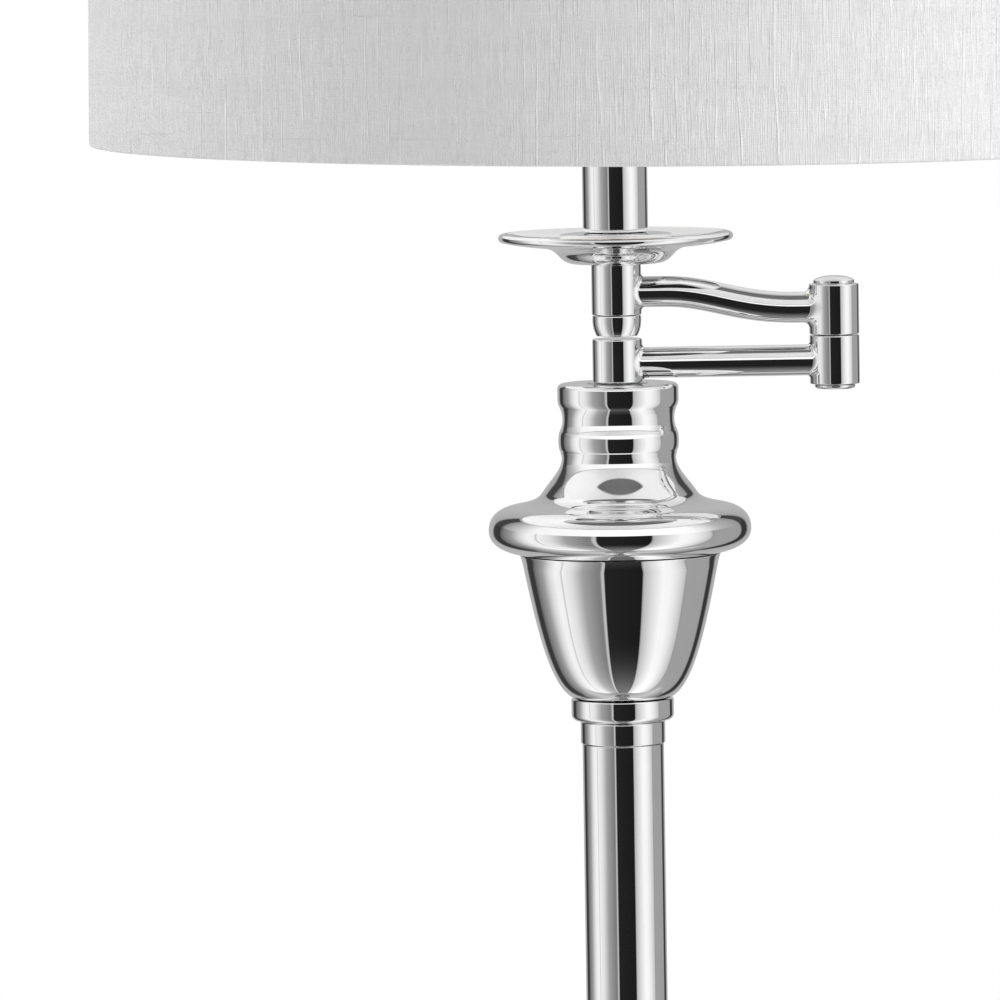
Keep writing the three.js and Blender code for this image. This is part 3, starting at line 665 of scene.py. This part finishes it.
def make_urn():
    spigot = reach("pole_upper") - POLE_WALL - GAP
    sleeve = [
        (ROD_HOLE, -14),
        (spigot, -14),
        (spigot, GAP),
        (16.5, GAP),
        *arc(15.7, 8.2, 0.8, 0, 90),
        (ROD_HOLE, 9),
    ]
    dress(turned("turned_pole_sleeve", sleeve, SEAM), "chrome", "pole_sleeve")

    collar = [
        (ROD_HOLE, 9.3),
        *arc(17.8, 11.5, 2.2, -90, 0),
        *arc(19.5, 17.2, 0.5, 0, 90),
        (ROD_HOLE, 17.7),
    ]
    dress(turned("turned_urn_collar", collar, SEAM), "chrome", "urn_collar")

    bowl = [
        (ROD_HOLE, 18),
        (19, 18),
        *bend((19.5, 18.3), (27.8, 23), (32.6, 42.8), (38, 70.1), 48),
        *bend((38, 70.1), (38.3, 71.6), (38.8, 73.1), (39.3, 74.5), 10)[1:],
        (36.9, 74.5),
        *bend((35.6, 70.1), (30.2, 42.8), (25.4, 24.2), (17.1, 20.7), 24),
        (ROD_HOLE, 20.7),
    ]
    dress(turned("spun_urn_bowl", bowl, SEAM, sides=FINE_SIDES, edge=0.2), "chrome", "urn_bowl")

    top = [
        (33, 69),
        (34.3, 69),
        (34.3, 74.8),
        *bend((39.3, 74.8), (45.5, 76), (51.2, 78.3), (51.2, 84), 32),
        *bend((51.2, 84), (51.2, 89), (48, 92.1), (42.5, 93.3), 32)[1:],
        *bend((42.5, 93.3), (33.8, 94.9), (31.4, 96.5), (30.2, 98.4), 24)[1:],
        *bend((30.2, 98.4), (29.4, 99.6), (28.3, 101.1), (27.5, 102.1), 6)[1:],
        *bend((27.5, 102.1), (23.6, 106.9), (22.4, 109.2), (22.3, 111.6), 24)[1:],
        *bend((22.3, 111.6), (22.3, 112.8), (22.7, 113.9), (22.9, 114.8), 10)[1:],
        *bend((22.9, 114.8), (23.7, 116), (23.7, 121.4), (22.8, 122.7), 20)[1:],
        *bend((22.8, 122.7), (22.3, 123.7), (21.8, 125.2), (21.8, 126.8), 12)[1:],
        *bend((21.8, 126.8), (21.8, 129.4), (22.3, 130.4), (22.8, 131.7), 12)[1:],
        *bend((22.8, 131.7), (23.3, 132.6), (23.6, 133.6), (23.6, 135), 10)[1:],
        *arc(21.6, 139, 2, 0, 90),
        (12, 141),
        (12, 139.8),
        (ROD_HOLE, 139.8),
        (ROD_HOLE, 135),
        (18.5, 135),
        (18.5, 112),
        (30, 92),
        (45, 87),
        (45, 81),
        (33, 77),
    ]
    dress(turned("spun_urn_top", top, SEAM, sides=FINE_SIDES), "chrome", "urn_top")


# ------------------------------------------------
# Swing arm
# ------------------------------------------------

KNUCKLE_R = 9.7
KNUCKLE_BORE = 7.4
PLUG_R = KNUCKLE_BORE - GAP  # the part of a cap that goes into a knuckle
ARM_R = 6.0
LOWER_ARM_Z = 148.8
ELBOW_ARM_Z = 169.4
HEAD_ARM_Z = 176.4


def fillet_rings(knuckle_x, side, z, size, steps=8):
    """Rings of the solder fillet where an arm leaves a knuckle, from the knuckle's wall outwards."""
    rings = []
    for i in range(steps + 1):
        angle = math.pi / 2 * i / steps
        radius = ARM_R + size * (1 - math.sin(angle))
        lift = size * (1 - math.cos(angle))
        ring = []
        for k in range(SIDES):
            turn = 2 * math.pi * k / SIDES
            y = radius * math.cos(turn)
            reach = math.sqrt(KNUCKLE_R**2 - y * y) + lift
            ring.append(at(knuckle_x + side * reach, z + radius * math.sin(turn), y))
        rings.append(ring)
    return rings


def make_arm(name, node_name, middle, ends, fillets):
    """Arm tube between the knuckles at x 0 and at the elbow.

    middle is its route of (x, z) points, ends its two heights and fillets the size of the
    solder fillet at each end.
    """
    rings = fillet_rings(0, 1, ends[0], fillets[0])
    count = len(middle)
    for i, (x, z) in enumerate(middle):
        before, after = middle[max(i - 1, 0)], middle[min(i + 1, count - 1)]
        slope = math.atan2(after[1] - before[1], after[0] - before[0])
        ring = []
        for k in range(SIDES):
            turn = 2 * math.pi * k / SIDES
            up = ARM_R * math.sin(turn)
            ring.append(at(x - up * math.sin(slope), z + up * math.cos(slope), ARM_R * math.cos(turn)))
        rings.append(ring)
    rings += fillet_rings(ELBOW_X, -1, ends[1], fillets[1])[::-1]
    dress(skin(name, rings), "chrome", node_name)


def make_arms():
    straight = [(12 + (ELBOW_X - 24) * i / 8, LOWER_ARM_Z) for i in range(9)]
    make_arm("lower_arm_tube", "lower_arm", straight, (LOWER_ARM_Z, LOWER_ARM_Z), (1.5, 1.3))
    swan = [
        (12, HEAD_ARM_Z),
        (15, HEAD_ARM_Z),
        *bend((18, HEAD_ARM_Z), (37, HEAD_ARM_Z), (46, ELBOW_ARM_Z), (70, ELBOW_ARM_Z), 48),
        (ELBOW_X - 12, ELBOW_ARM_Z),
    ]
    make_arm("upper_arm_tube", "upper_arm", swan, (HEAD_ARM_Z, ELBOW_ARM_Z), (1.3, 2.4))


def barrel_outline(low, high):
    """Knuckle that is open at the bottom and closed at the top, but for the rod's hole."""
    return [
        (KNUCKLE_BORE, low),
        (KNUCKLE_R, low),
        (KNUCKLE_R, high),
        (ROD_HOLE, high),
        (ROD_HOLE, high - 3),
        (KNUCKLE_BORE, high - 3),
    ]


def make_lower_link():
    low, high = heights("lower_knuckle")
    outline = [
        (0, high - 2.6),
        (KNUCKLE_BORE, high - 2.6),
        (KNUCKLE_BORE, 143.2),
        (ROD_HOLE, 143.2),
        (ROD_HOLE, low),
        (KNUCKLE_R, low),
        (KNUCKLE_R, high),
        (0, high),
    ]
    dress(turned("lower_knuckle_barrel", outline, SEAM, edge=0.6), "chrome", "lower_knuckle")

    outline = barrel_outline(*heights("elbow_lower_knuckle"))
    barrel = turned("elbow_lower_barrel", outline, SEAM, ELBOW_X, edge=0.5)
    dress(barrel, "chrome", "elbow_lower_knuckle")

    low = heights("elbow_bottom_cap")[0]
    outline = [
        (0, low),
        (PLUG_R, low),
        (7.9, low + 0.7),
        (7.9, low + 1.6),
        (PLUG_R, low + 1.6),
        (PLUG_R, low + 4.5),
        (0, low + 4.5),
    ]
    dress(turned("elbow_bottom_plug", outline, SEAM, ELBOW_X), "chrome", "elbow_bottom_cap")


def make_upper_link():
    low, high = heights("elbow_upper_knuckle")
    outline = [
        (8, low),
        (KNUCKLE_R, low),
        (KNUCKLE_R, high),
        (KNUCKLE_BORE, high),
        (KNUCKLE_BORE, low + 3.7),
        (ROD_HOLE, low + 3.7),
        (ROD_HOLE, low + 1.2),
        (8, low + 1.2),
    ]
    barrel = turned("elbow_upper_barrel", outline, SEAM, ELBOW_X, edge=0.5)
    dress(barrel, "chrome", "elbow_upper_knuckle")

    outline = [
        (0, high - 2),
        (PLUG_R, high - 2),
        (PLUG_R, high + GAP),
        (8, high + GAP),
        (8, high + 1.4),
        *bend((7.8, high + 1.5), (6.6, high + 2.6), (3.5, high + 3.2), (0, high + 3.2), 20),
    ]
    dress(turned("elbow_domed_cap", outline, SEAM, ELBOW_X, edge=0.15), "chrome", "elbow_top_cap")

    low, high = heights("upper_knuckle")
    barrel = turned("upper_knuckle_barrel", barrel_outline(low, high), SEAM, edge=0.5)
    dress(barrel, "chrome", "upper_knuckle")

    outline = [
        (0, 159.4),
        *bend((8, 159.4), (9.2, 161.6), (9.8, 164.6), (9.4, low - GAP), 24),
        (PLUG_R, low - GAP),
        (PLUG_R, low + 2.4),
        (0, low + 2.4),
    ]
    dress(turned("knuckle_turned_cap", outline, SEAM), "chrome", "knuckle_cap")


# ------------------------------------------------
# Head: drip disk, tube, socket, switch and bulb
# ------------------------------------------------


def make_disk_and_tube():
    disk = [
        (ROD_HOLE, 187.7),
        *bend((16, 187.7), (20, 187.8), (21.5, 190), (23, 191.6), 20),
        *bend((23, 191.6), (24.4, 193), (26, 193.8), (29, 194.2), 16)[1:],
        *bend((29, 194.2), (34, 194.8), (40, 195.3), (44, 196.4), 16)[1:],
        *arc(44.1, 198, 1.6, -75, 120, 20),
        *bend((43.1, 199.2), (36, 196.6), (28, 196.1), (22.6, 196), 28),
        (21.7, 196.1),
        (21.7, 199),
        *bend((21, 199.3), (18, 199.6), (15, 199.8), (12.7, 199.8), 10),
        (ROD_HOLE, 199.8),
    ]
    dress(turned("spun_drip_disk", disk, SEAM, sides=FINE_SIDES, edge=0.25), "chrome", "drip_disk")

    wall = 0.9
    radius = reach("socket_tube")
    tube = turned("head_tube", band(radius - wall, radius, *heights("socket_tube")), SEAM, edge=0.25)
    dress(tube, "chrome", "socket_tube")


def make_socket():
    low, high = heights("socket_cap")
    cap = [
        (ROD_HOLE, low),
        *bend((10, low), (15, low + 1), (17.2, low + 5), (17.2, low + 8)),
        (17.2, high - 1.6),
        *arc(16.6, high - 0.8, 0.9, -60, 80, 8),
        (16.2, high),
        (16.2, low + 8),
        *bend((16.2, low + 7), (15.6, low + 4.5), (12, low + 1.2), (ROD_HOLE, low + 1.2)),
    ]
    dress(turned("socket_cap_shell", cap, SEAM), "brass", "socket_cap")

    bottom, top = heights("socket_shell")
    radius = reach("socket_shell")
    wall, bead = 0.6, 0.55
    shell = [
        (radius - wall, bottom),
        (radius, bottom),
        (radius, top - 14),
        *arc(radius - bead, top - 12.5, bead, -90, 90, 8),
        *arc(radius - bead, top - 5.5, bead, -90, 90, 8),
        (radius, top),
        (radius - wall, top),
    ]
    body = turned("socket_beaded_shell", shell, SEAM, edge=0.15)
    shaft_low, shaft_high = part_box("switch_shaft")
    shaft_z = (shaft_low.z + shaft_high.z) / 2
    forwards = Matrix.Rotation(math.pi / 2, 4, "X")
    hole = drill(3.4, -8, 8)
    hole.data.transform(Matrix.Translation((0, -radius * MM, shaft_z)) @ forwards)
    dress(cut(body, hole), "brass", "socket_shell")

    low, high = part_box("switch_knob")
    length = (high.y - low.y) / MM
    knob = [  # along its own axis
        (0, 0),
        (4.6, 0),
        (5.2, 0.8),
        (5.2, length - 1.4),
        *bend((5.1, length - 0.7), (4.8, length - 0.1), (4, length), (0, length - 0.5), 12),
    ]
    grip = turned("switch_ribbed_knob", knob, edge=0.2, ribs=(16, 0.35))
    grip.data.transform(Matrix.Translation((0, high.y, shaft_z)) @ forwards)
    dress(grip, "black_plastic", "switch_knob")


def make_bulb():
    low, high = heights("bulb_base")
    depth, turns, steps = 0.55, 5, 8
    pitch = (high - low - 7) / turns
    thread = []
    for i in range(turns * steps + 1):
        wave = math.cos(2 * math.pi * i / steps)
        thread.append((reach("bulb_base") - depth + depth * wave, low + 4.5 + pitch * i / steps))
    cap = [
        (0, low),
        (4, low),
        (5, low + 0.8),
        (9, low + 2.4),
        (11.6, low + 4.2),
        *thread,
        (12.4, high),
        (0, high),
    ]
    dress(turned("bulb_threaded_cap", cap, SEAM, edge=0.1), "steel", "bulb_base")

    neck, top = heights("bulb_globe")
    globe_r = 30
    centre = top - globe_r
    join = 0.5  # angle below the globe's middle, in radians, where the neck runs into it

    def glass(inset):
        """Outline of one side of the glass, the given distance in from the outside."""
        end = (globe_r * math.cos(join) - inset, centre - globe_r * math.sin(join))
        return [
            (12.5 - inset, neck),
            *bend((13 - inset, neck + 6), (15 - inset, neck + 20), (24 - inset, neck + 26), end, 20),
            *arc(0, centre, globe_r - inset, -20, 90, 30),
        ]

    globe = turned("frosted_globe", [*glass(1)[::-1], *glass(0)], SEAM, edge=0.1, smooth_angle=60)
    dress(globe, "glass", "bulb_globe")


# ------------------------------------------------
# Harp, shade and finial. The harp's bow leans a little above its legs, and what it carries leans
# with it, as in the photograph.
# ------------------------------------------------

LEAN_FROM = at(0, 290)  # the point that the lean turns about
LEAN_ANGLE = math.radians(0.85)
LEAN = (
    Matrix.Translation(LEAN_FROM)
    @ Matrix.Rotation(LEAN_ANGLE, 4, "Y")
    @ Matrix.Translation(-LEAN_FROM)
)
HARP_SEAT = 475  # height of the shade's seat on the harp


def leaned(piece):
    """Leans a finished piece with the harp's bow."""
    piece.data.transform(LEAN)
    return piece


def make_harp():
    foot = heights("harp")[0]
    seat = HARP_SEAT
    leg = [(SADDLE_X, foot), (SADDLE_X, foot + 12), (SADDLE_X, foot + 22)]
    bow = [(38, foot + 38), (50, foot + 63), (56, foot + 104), (47, foot + 152), (24, seat - 10)]
    right = [*(at(x, z) for x, z in leg), *(LEAN @ at(x, z) for x, z in bow)]
    left = [*(LEAN @ at(-x, z) for x, z in bow[::-1]), *(at(-x, z) for x, z in leg[::-1])]
    wire = swept("wire", spline([*right, LEAN @ at(0, seat - 4), *left]), 2)
    length, steps = 13, 4  # the stud's thread in mm, and its points per millimetre
    thread = []
    for i in range(length * steps + 1):
        thread.append((2.75 + 0.25 * math.cos(2 * math.pi * i / steps), seat + i / steps))
    stud = [(0, seat - 5), (6, seat - 5), (7, seat - 4), (7, seat), (3, seat), *thread, (0, seat + length)]
    post = leaned(turned("stud", stud, SEAM, sides=SMALL_SIDES, edge=0.15))
    dress(merged("harp_wire", wire, post), "brass", "harp")

    low, high = heights("harp_ferrule_left")
    outline = [
        (2.8, low),
        *arc(3.5, low + 0.5, 0.5, -90, 0, 6),
        (4, low + 5),
        (3.7, low + 5.6),
        (3.7, low + 10.4),
        (4, low + 11),
        *arc(3.5, high - 0.5, 0.5, 0, 90, 6),
        (2.8, high),
    ]
    for name, direction in (("left", -1), ("right", 1)):
        sleeve = turned(f"harp_ferrule_{name}_turned", outline, SEAM, direction * SADDLE_X, SMALL_SIDES)
        dress(sleeve, "brass", f"harp_ferrule_{name}")


def make_saddle():
    low, high = heights("harp_saddle")
    half_length = reach("harp_saddle")
    half_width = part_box("harp_saddle")[1].y / MM
    thick, broken = 1.5, 0.25
    rim = []
    for side in (1, -1):
        for x, y in arc(half_length - half_width, 0, half_width, 90, -90, 16):
            rim.append((side * x, side * y))
    rings = []
    for z, inset in ((0.0, broken), (broken, 0.0), (thick - broken, 0.0), (thick, broken)):
        shrink = 1 - inset / half_width
        rings.append([at(x * shrink, low + z, y * shrink) for x, y in rim])
    bar = skin("bar", rings)
    hole = drill(ROD_HOLE, low - 3, low + 4, SEAM)
    posts = []
    for direction in (-1, 1):
        outline = [(0, low + 0.5), (2.4, low + 0.5), (2.4, high - 0.6), (1.8, high), (0, high)]
        posts.append(turned("post", outline, SEAM, direction * SADDLE_X, 32))
    dress(merged("stamped_harp_saddle", cut(bar, hole), *posts), "brass", "harp_saddle")


def ring_route(radius, z):
    """Closed round route at a height."""
    angles = [2 * math.pi * i / FINE_SIDES for i in range(FINE_SIDES)]
    return [at(radius * math.cos(a), z, radius * math.sin(a)) for a in angles]


def make_shade_frame():
    wire = 1.8
    ring_r = reach("shade_bottom_ring") - wire
    bottom_z = sum(heights("shade_bottom_ring")) / 2
    top_z = SHADE_TOP - 3
    hub_z = HARP_SEAT + GAP
    bottom_ring = swept("bottom_ring_wire", ring_route(ring_r, bottom_z), wire, 16, loop=True)
    dress(leaned(bottom_ring), "steel", "shade_bottom_ring")

    parts = [swept("ring", ring_route(ring_r, top_z), wire, 16, loop=True)]
    for angle in (90, 210, 330):
        turn = Matrix.Rotation(math.radians(angle), 4, "Z")
        path = bend((11, hub_z + 1), (80, hub_z + 1), (150, hub_z + 1), (ring_r, top_z), 24)
        parts.append(swept("spoke", [turn @ at(x, z) for x, z in path], wire, 16))
    parts.append(turned("hub", band(3.6, 12, hub_z, hub_z + 1.6), SEAM, sides=64, edge=0.3))
    dress(leaned(merged("shade_spider_frame", *parts)), "steel", "shade_top_frame")


def make_liner():
    wall, bands = 0.6, 12
    low, high = heights("shade_liner")
    radius = reach("shade_liner")
    levels = [low + (high - low) * i / bands for i in range(bands + 1)]
    outline = [(radius, z) for z in levels] + [(radius - wall, z) for z in levels[::-1]]
    sheet = turned("styrene_liner", outline, SEAM, sides=FINE_SIDES, edge=0.15)
    dress(leaned(sheet), "liner", "shade_liner")


def make_linen():
    """One strip of cloth round the drum. It turns in under the liner at both edges and laps at the back."""
    wall = 0.5
    hem = 10.0
    lap = 12.0
    inner_leaf = SHADE_R - 2.1
    fold = (SHADE_R - inner_leaf) / 2
    fold_r = SHADE_R - fold
    low, high = SHADE_BOTTOM + fold, SHADE_TOP - fold
    bands = 24
    levels = [low + (high - low) * i / bands for i in range(bands + 1)]
    thin = fold - wall
    edge = inner_leaf + wall * 0.8
    outline = [(SHADE_R, z) for z in levels]
    outline += arc(fold_r, high, fold, 0, 180, 10)[1:]
    outline += [(inner_leaf, SHADE_TOP - hem), (edge, SHADE_TOP - hem)]
    outline += arc(fold_r, high, thin, 180, 0, 8)
    outline += [(SHADE_R - wall, z) for z in levels[-2:0:-1]]
    outline += arc(fold_r, low, thin, 0, -180, 8)
    outline += [(edge, SHADE_BOTTOM + hem), (inner_leaf, SHADE_BOTTOM + hem)]
    outline += arc(fold_r, low, fold, 180, 360, 10)[:-1]

    # The strip starts a lap past the back, goes once round and rises onto its own start.
    back = math.pi / 2
    seam = back + 2 * math.pi
    lap_angle = lap / SHADE_R
    lap_rise = 0.45
    nick = 0.001  # angle, in radians, over which it rises
    columns, lap_columns = 320, 6
    angles = [back + lap_angle + (2 * math.pi - lap_angle) * i / columns for i in range(columns + 1)]
    angles += [seam + nick, *(seam + lap_angle * i / lap_columns for i in range(1, lap_columns))]
    rings = []
    for r, z in outline:
        outer_leaf = r > SHADE_R - wall - 0.01
        ring = []
        for angle in angles:
            beyond = angle - seam
            rise = lap_rise * (1 - beyond / lap_angle) if beyond >= nick else 0.0
            wave = 0.1 * math.sin(3 * angle + 1) + 0.06 * math.sin(7 * angle + 2)
            radius = r + rise + wave * outer_leaf
            ring.append(at(radius * math.cos(angle), z, radius * math.sin(angle)))
        rings.append(ring)
    cloth = leaned(skin("linen_cover", rings, loop=True, smooth_angle=50))
    dress(cloth, "linen", "shade_fabric")


def make_finial():
    low, high = heights("finial")
    ball = 10.5
    outline = [
        (0, low + 12.8),
        (3.4, low + 12.8),
        (3.4, low),
        (8, low),
        *arc(7, low + 1.4, 1, 0, 80, 6),
        *bend((6.4, low + 2.7), (5.2, low + 3.4), (4.5, low + 5.5), (4.5, low + 8), 10),
        (4.5, low + 11),
        *arc(4.6, low + 12, 0.7, -60, 60, 6),
        *arc(0, high - ball, ball, -60, 90, 36),
    ]
    dress(leaned(turned("turned_finial", outline, SEAM, edge=0.2)), "chrome", "finial")


# ------------------------------------------------
# Studio
# ------------------------------------------------

# The studio has three sets of brightness, by what looks at it: polished metal sees the tables
# from AROUND to UNDERFOOT, matt surfaces are lit by FILL, and the camera sees plain white paper.
#
# Round the lamp, by azimuth in degrees: 0 is towards the camera and 90 is to the right. A black
# screen stands in front, and on each side a softbox with a dark gap beyond it.
AROUND = [
    (-180, 0.5), (-152, 0.45), (-147, 0.05), (-133, 0.04), (-129, 0.16), (-112, 0.36), (-100, 0.75),
    (-90, 0.97), (-82, 0.95), (-80.5, 0.45), (-79, 0.95), (-66, 0.8), (-50, 0.38), (-30, 0.22),
    (-26, 0.24), (-25, 0.6), (-22.5, 0.55), (-21.5, 0.018), (27, 0.012), (28.5, 0.5), (40, 0.76),
    (55, 1.03), (65, 1.0), (75, 0.84), (87, 0.58), (89, 0.3), (91, 0.37), (131, 0.36), (135, 0.04),
    (146, 0.04), (152, 0.42), (180, 0.5),
]
# The same above the lamp's level, where a softbox hangs over the camera.
ABOVE = [
    (-180, 0.5), (-152, 0.42), (-147, 0.06), (-133, 0.06), (-128, 0.3), (-110, 0.55), (-85, 1.0),
    (-40, 1.05), (0, 1.15), (40, 1.15), (70, 1.05), (100, 0.5), (131, 0.33), (135, 0.06), (146, 0.06),
    (152, 0.42), (180, 0.5),
]
# From the camera's side over the top to the back, by the angle above the horizon.
OVERHEAD = [
    (40, 0.95), (52, 0.4), (58, 0.2), (72, 0.17), (80, 0.14), (92, 0.14), (102, 0.45), (116, 0.83),
    (135, 0.6), (180, 0.45),
]
# From the camera's side under the lamp to the back.
UNDERFOOT = [
    (0, 0.03), (48, 0.04), (75, 0.25), (84, 0.35), (92, 0.55), (100, 0.62), (112, 0.36), (126, 0.16),
    (146, 0.17), (165, 0.28), (180, 0.4),
]
# Light that falls on matt surfaces, by azimuth: one softbox on each side and a weak fill.
FILL = [
    (-180, 0.4), (-140, 0.4), (-110, 1.95), (-85, 1.15), (-60, 0.47), (-30, 0.4), (0, 0.57), (30, 0.6),
    (50, 1.03), (75, 2.72), (95, 1.2), (120, 0.35), (150, 0.45), (180, 0.4),
]
FILL_STRENGTH = 1.25


def studio_world():
    """World light in patterns by direction, chosen by the kind of ray."""
    world = bpy.data.worlds.new("studio")
    world.use_nodes = True
    bpy.context.scene.world = world
    tree = world.node_tree
    tree.nodes.clear()
    direction = node(tree, "ShaderNodeTexCoord").outputs["Generated"]
    x, y, z = node(tree, "ShaderNodeSeparateXYZ", {0: direction}).outputs
    front = math_node(tree, "MULTIPLY", y, -1.0)

    def by_angle(angle, stops, low, high):
        """Ramp over an angle in radians whose stops are in degrees between low and high."""
        place = remap(tree, angle, math.radians(low), math.radians(high), 0.0, 1.0, "LINEAR")
        span = [((degrees - low) / (high - low), value) for degrees, value in stops]
        return ramp(tree, place, span)

    azimuth = math_node(tree, "ARCTAN2", x, front)
    elevation = math_node(tree, "ARCSINE", z)
    over = math_node(tree, "ARCTAN2", z, front)
    under = math_node(tree, "ARCTAN2", math_node(tree, "MULTIPLY", z, -1.0), front)

    def mix(low, high, below, above, height=elevation):
        """One pattern under the lower elevation, in degrees, and another over the higher one."""
        share = remap(tree, height, math.radians(low), math.radians(high), 0.0, 1.0)
        mixed = node(tree, "ShaderNodeMix", data_type="RGBA")
        sockets = [socket for socket in mixed.inputs if socket.enabled]
        for value, socket in zip((share, below, above), sockets):
            tree.links.new(value, socket)
        return next(socket for socket in mixed.outputs if socket.enabled)

    # The walls reach further down on the camera's side, and pale towards the floor.
    wall_foot = math_node(tree, "ADD", elevation, remap(tree, front, -0.2, 0.2, 0.0, math.radians(30)))
    pale = remap(tree, elevation, math.radians(-78), math.radians(-34), 0.18, 0.0)
    walls = by_angle(azimuth, AROUND, -180, 180)
    walls = node(tree, "ShaderNodeVectorMath", {0: walls, 1: pale}, operation="ADD").outputs[0]
    seen = mix(-50, -47, by_angle(under, UNDERFOOT, 0, 180), walls, wall_foot)
    seen = mix(9, 11, seen, by_angle(azimuth, ABOVE, -180, 180))
    seen = mix(44, 54, seen, by_angle(over, OVERHEAD, 0, 180))
    fill = by_angle(azimuth, FILL, -180, 180)

    path = node(tree, "ShaderNodeLightPath")
    matt = node(tree, "ShaderNodeBackground", {"Color": fill, "Strength": FILL_STRENGTH})
    metal = node(tree, "ShaderNodeBackground", {"Color": seen})
    paper = node(tree, "ShaderNodeBackground", {"Color": (1, 1, 1, 1)})

    def either(ray, otherwise, then):
        """One background for a kind of ray, and another for the rest."""
        inputs = {0: path.outputs[ray], 1: otherwise.outputs[0], 2: then.outputs[0]}
        return node(tree, "ShaderNodeMixShader", inputs)

    shown = either("Is Camera Ray", either("Is Glossy Ray", matt, metal), paper)
    node(tree, "ShaderNodeOutputWorld", {"Surface": shown.outputs[0]})


def studio_floor():
    """Pale floor round the lamp that fades into the white paper behind it, and is clear from below."""
    radius, fade_from = 4.6, 0.5
    mesh = bpy.data.meshes.new("floor")
    work = bmesh.new()
    bmesh.ops.create_circle(work, cap_ends=True, radius=radius, segments=96)
    work.to_mesh(mesh)
    work.free()
    floor = bpy.data.objects.new("floor", mesh)
    bpy.context.scene.collection.objects.link(floor)
    floor.visible_glossy = False
    floor.visible_diffuse = False
    material, tree, shader, position = start_material("floor", Roughness=0.7, Specular_IOR_Level=0.2)
    speckle = grain(tree, position, (3, 3, 3), 3)
    tint(tree, shader, speckle, [(0.3, 0.9), (0.7, 0.93)])
    distance = node(tree, "ShaderNodeVectorMath", {0: position}, operation="LENGTH").outputs["Value"]
    fade = remap(tree, distance, fade_from, radius * 0.9, 0.0, 1.0)
    fade = math_node(tree, "MAXIMUM", fade, node(tree, "ShaderNodeNewGeometry").outputs["Backfacing"])
    clear = node(tree, "ShaderNodeBsdfTransparent")
    mixed = node(tree, "ShaderNodeMixShader", {0: fade, 1: shader.outputs[0], 2: clear.outputs[0]})
    tree.links.new(mixed.outputs[0], tree.nodes["Material Output"].inputs["Surface"])
    mesh.materials.append(material)


def studio_camera():
    """Long lens from a little above the arm, level with the shade, and turned a touch."""
    aside = -0.0466
    eye = Vector((aside, -3.4, SEAM + 0.374))
    target = Vector((aside, 0, SEAM + 0.096))
    roll = math.radians(-0.93)
    data = bpy.data.cameras.new("camera")
    data.lens = 315
    data.sensor_width = 36
    data.clip_end = 100
    camera = bpy.data.objects.new("camera", data)
    bpy.context.scene.collection.objects.link(camera)
    camera.location = eye
    camera.rotation_mode = "QUATERNION"
    camera.rotation_quaternion = (target - eye).to_track_quat("-Z", "Y") @ Quaternion((0, 0, 1), roll)
    bpy.context.scene.camera = camera


bpy.context.scene.view_settings.view_transform = "Standard"
studio_camera()
studio_world()
studio_floor()
finish_cad_nodes()
make_base()
make_pole()
make_urn()
make_lower_link()
make_arms()
make_upper_link()
make_disk_and_tube()
make_socket()
make_bulb()
make_saddle()
make_harp()
make_shade_frame()
make_liner()
make_linen()
make_finial()
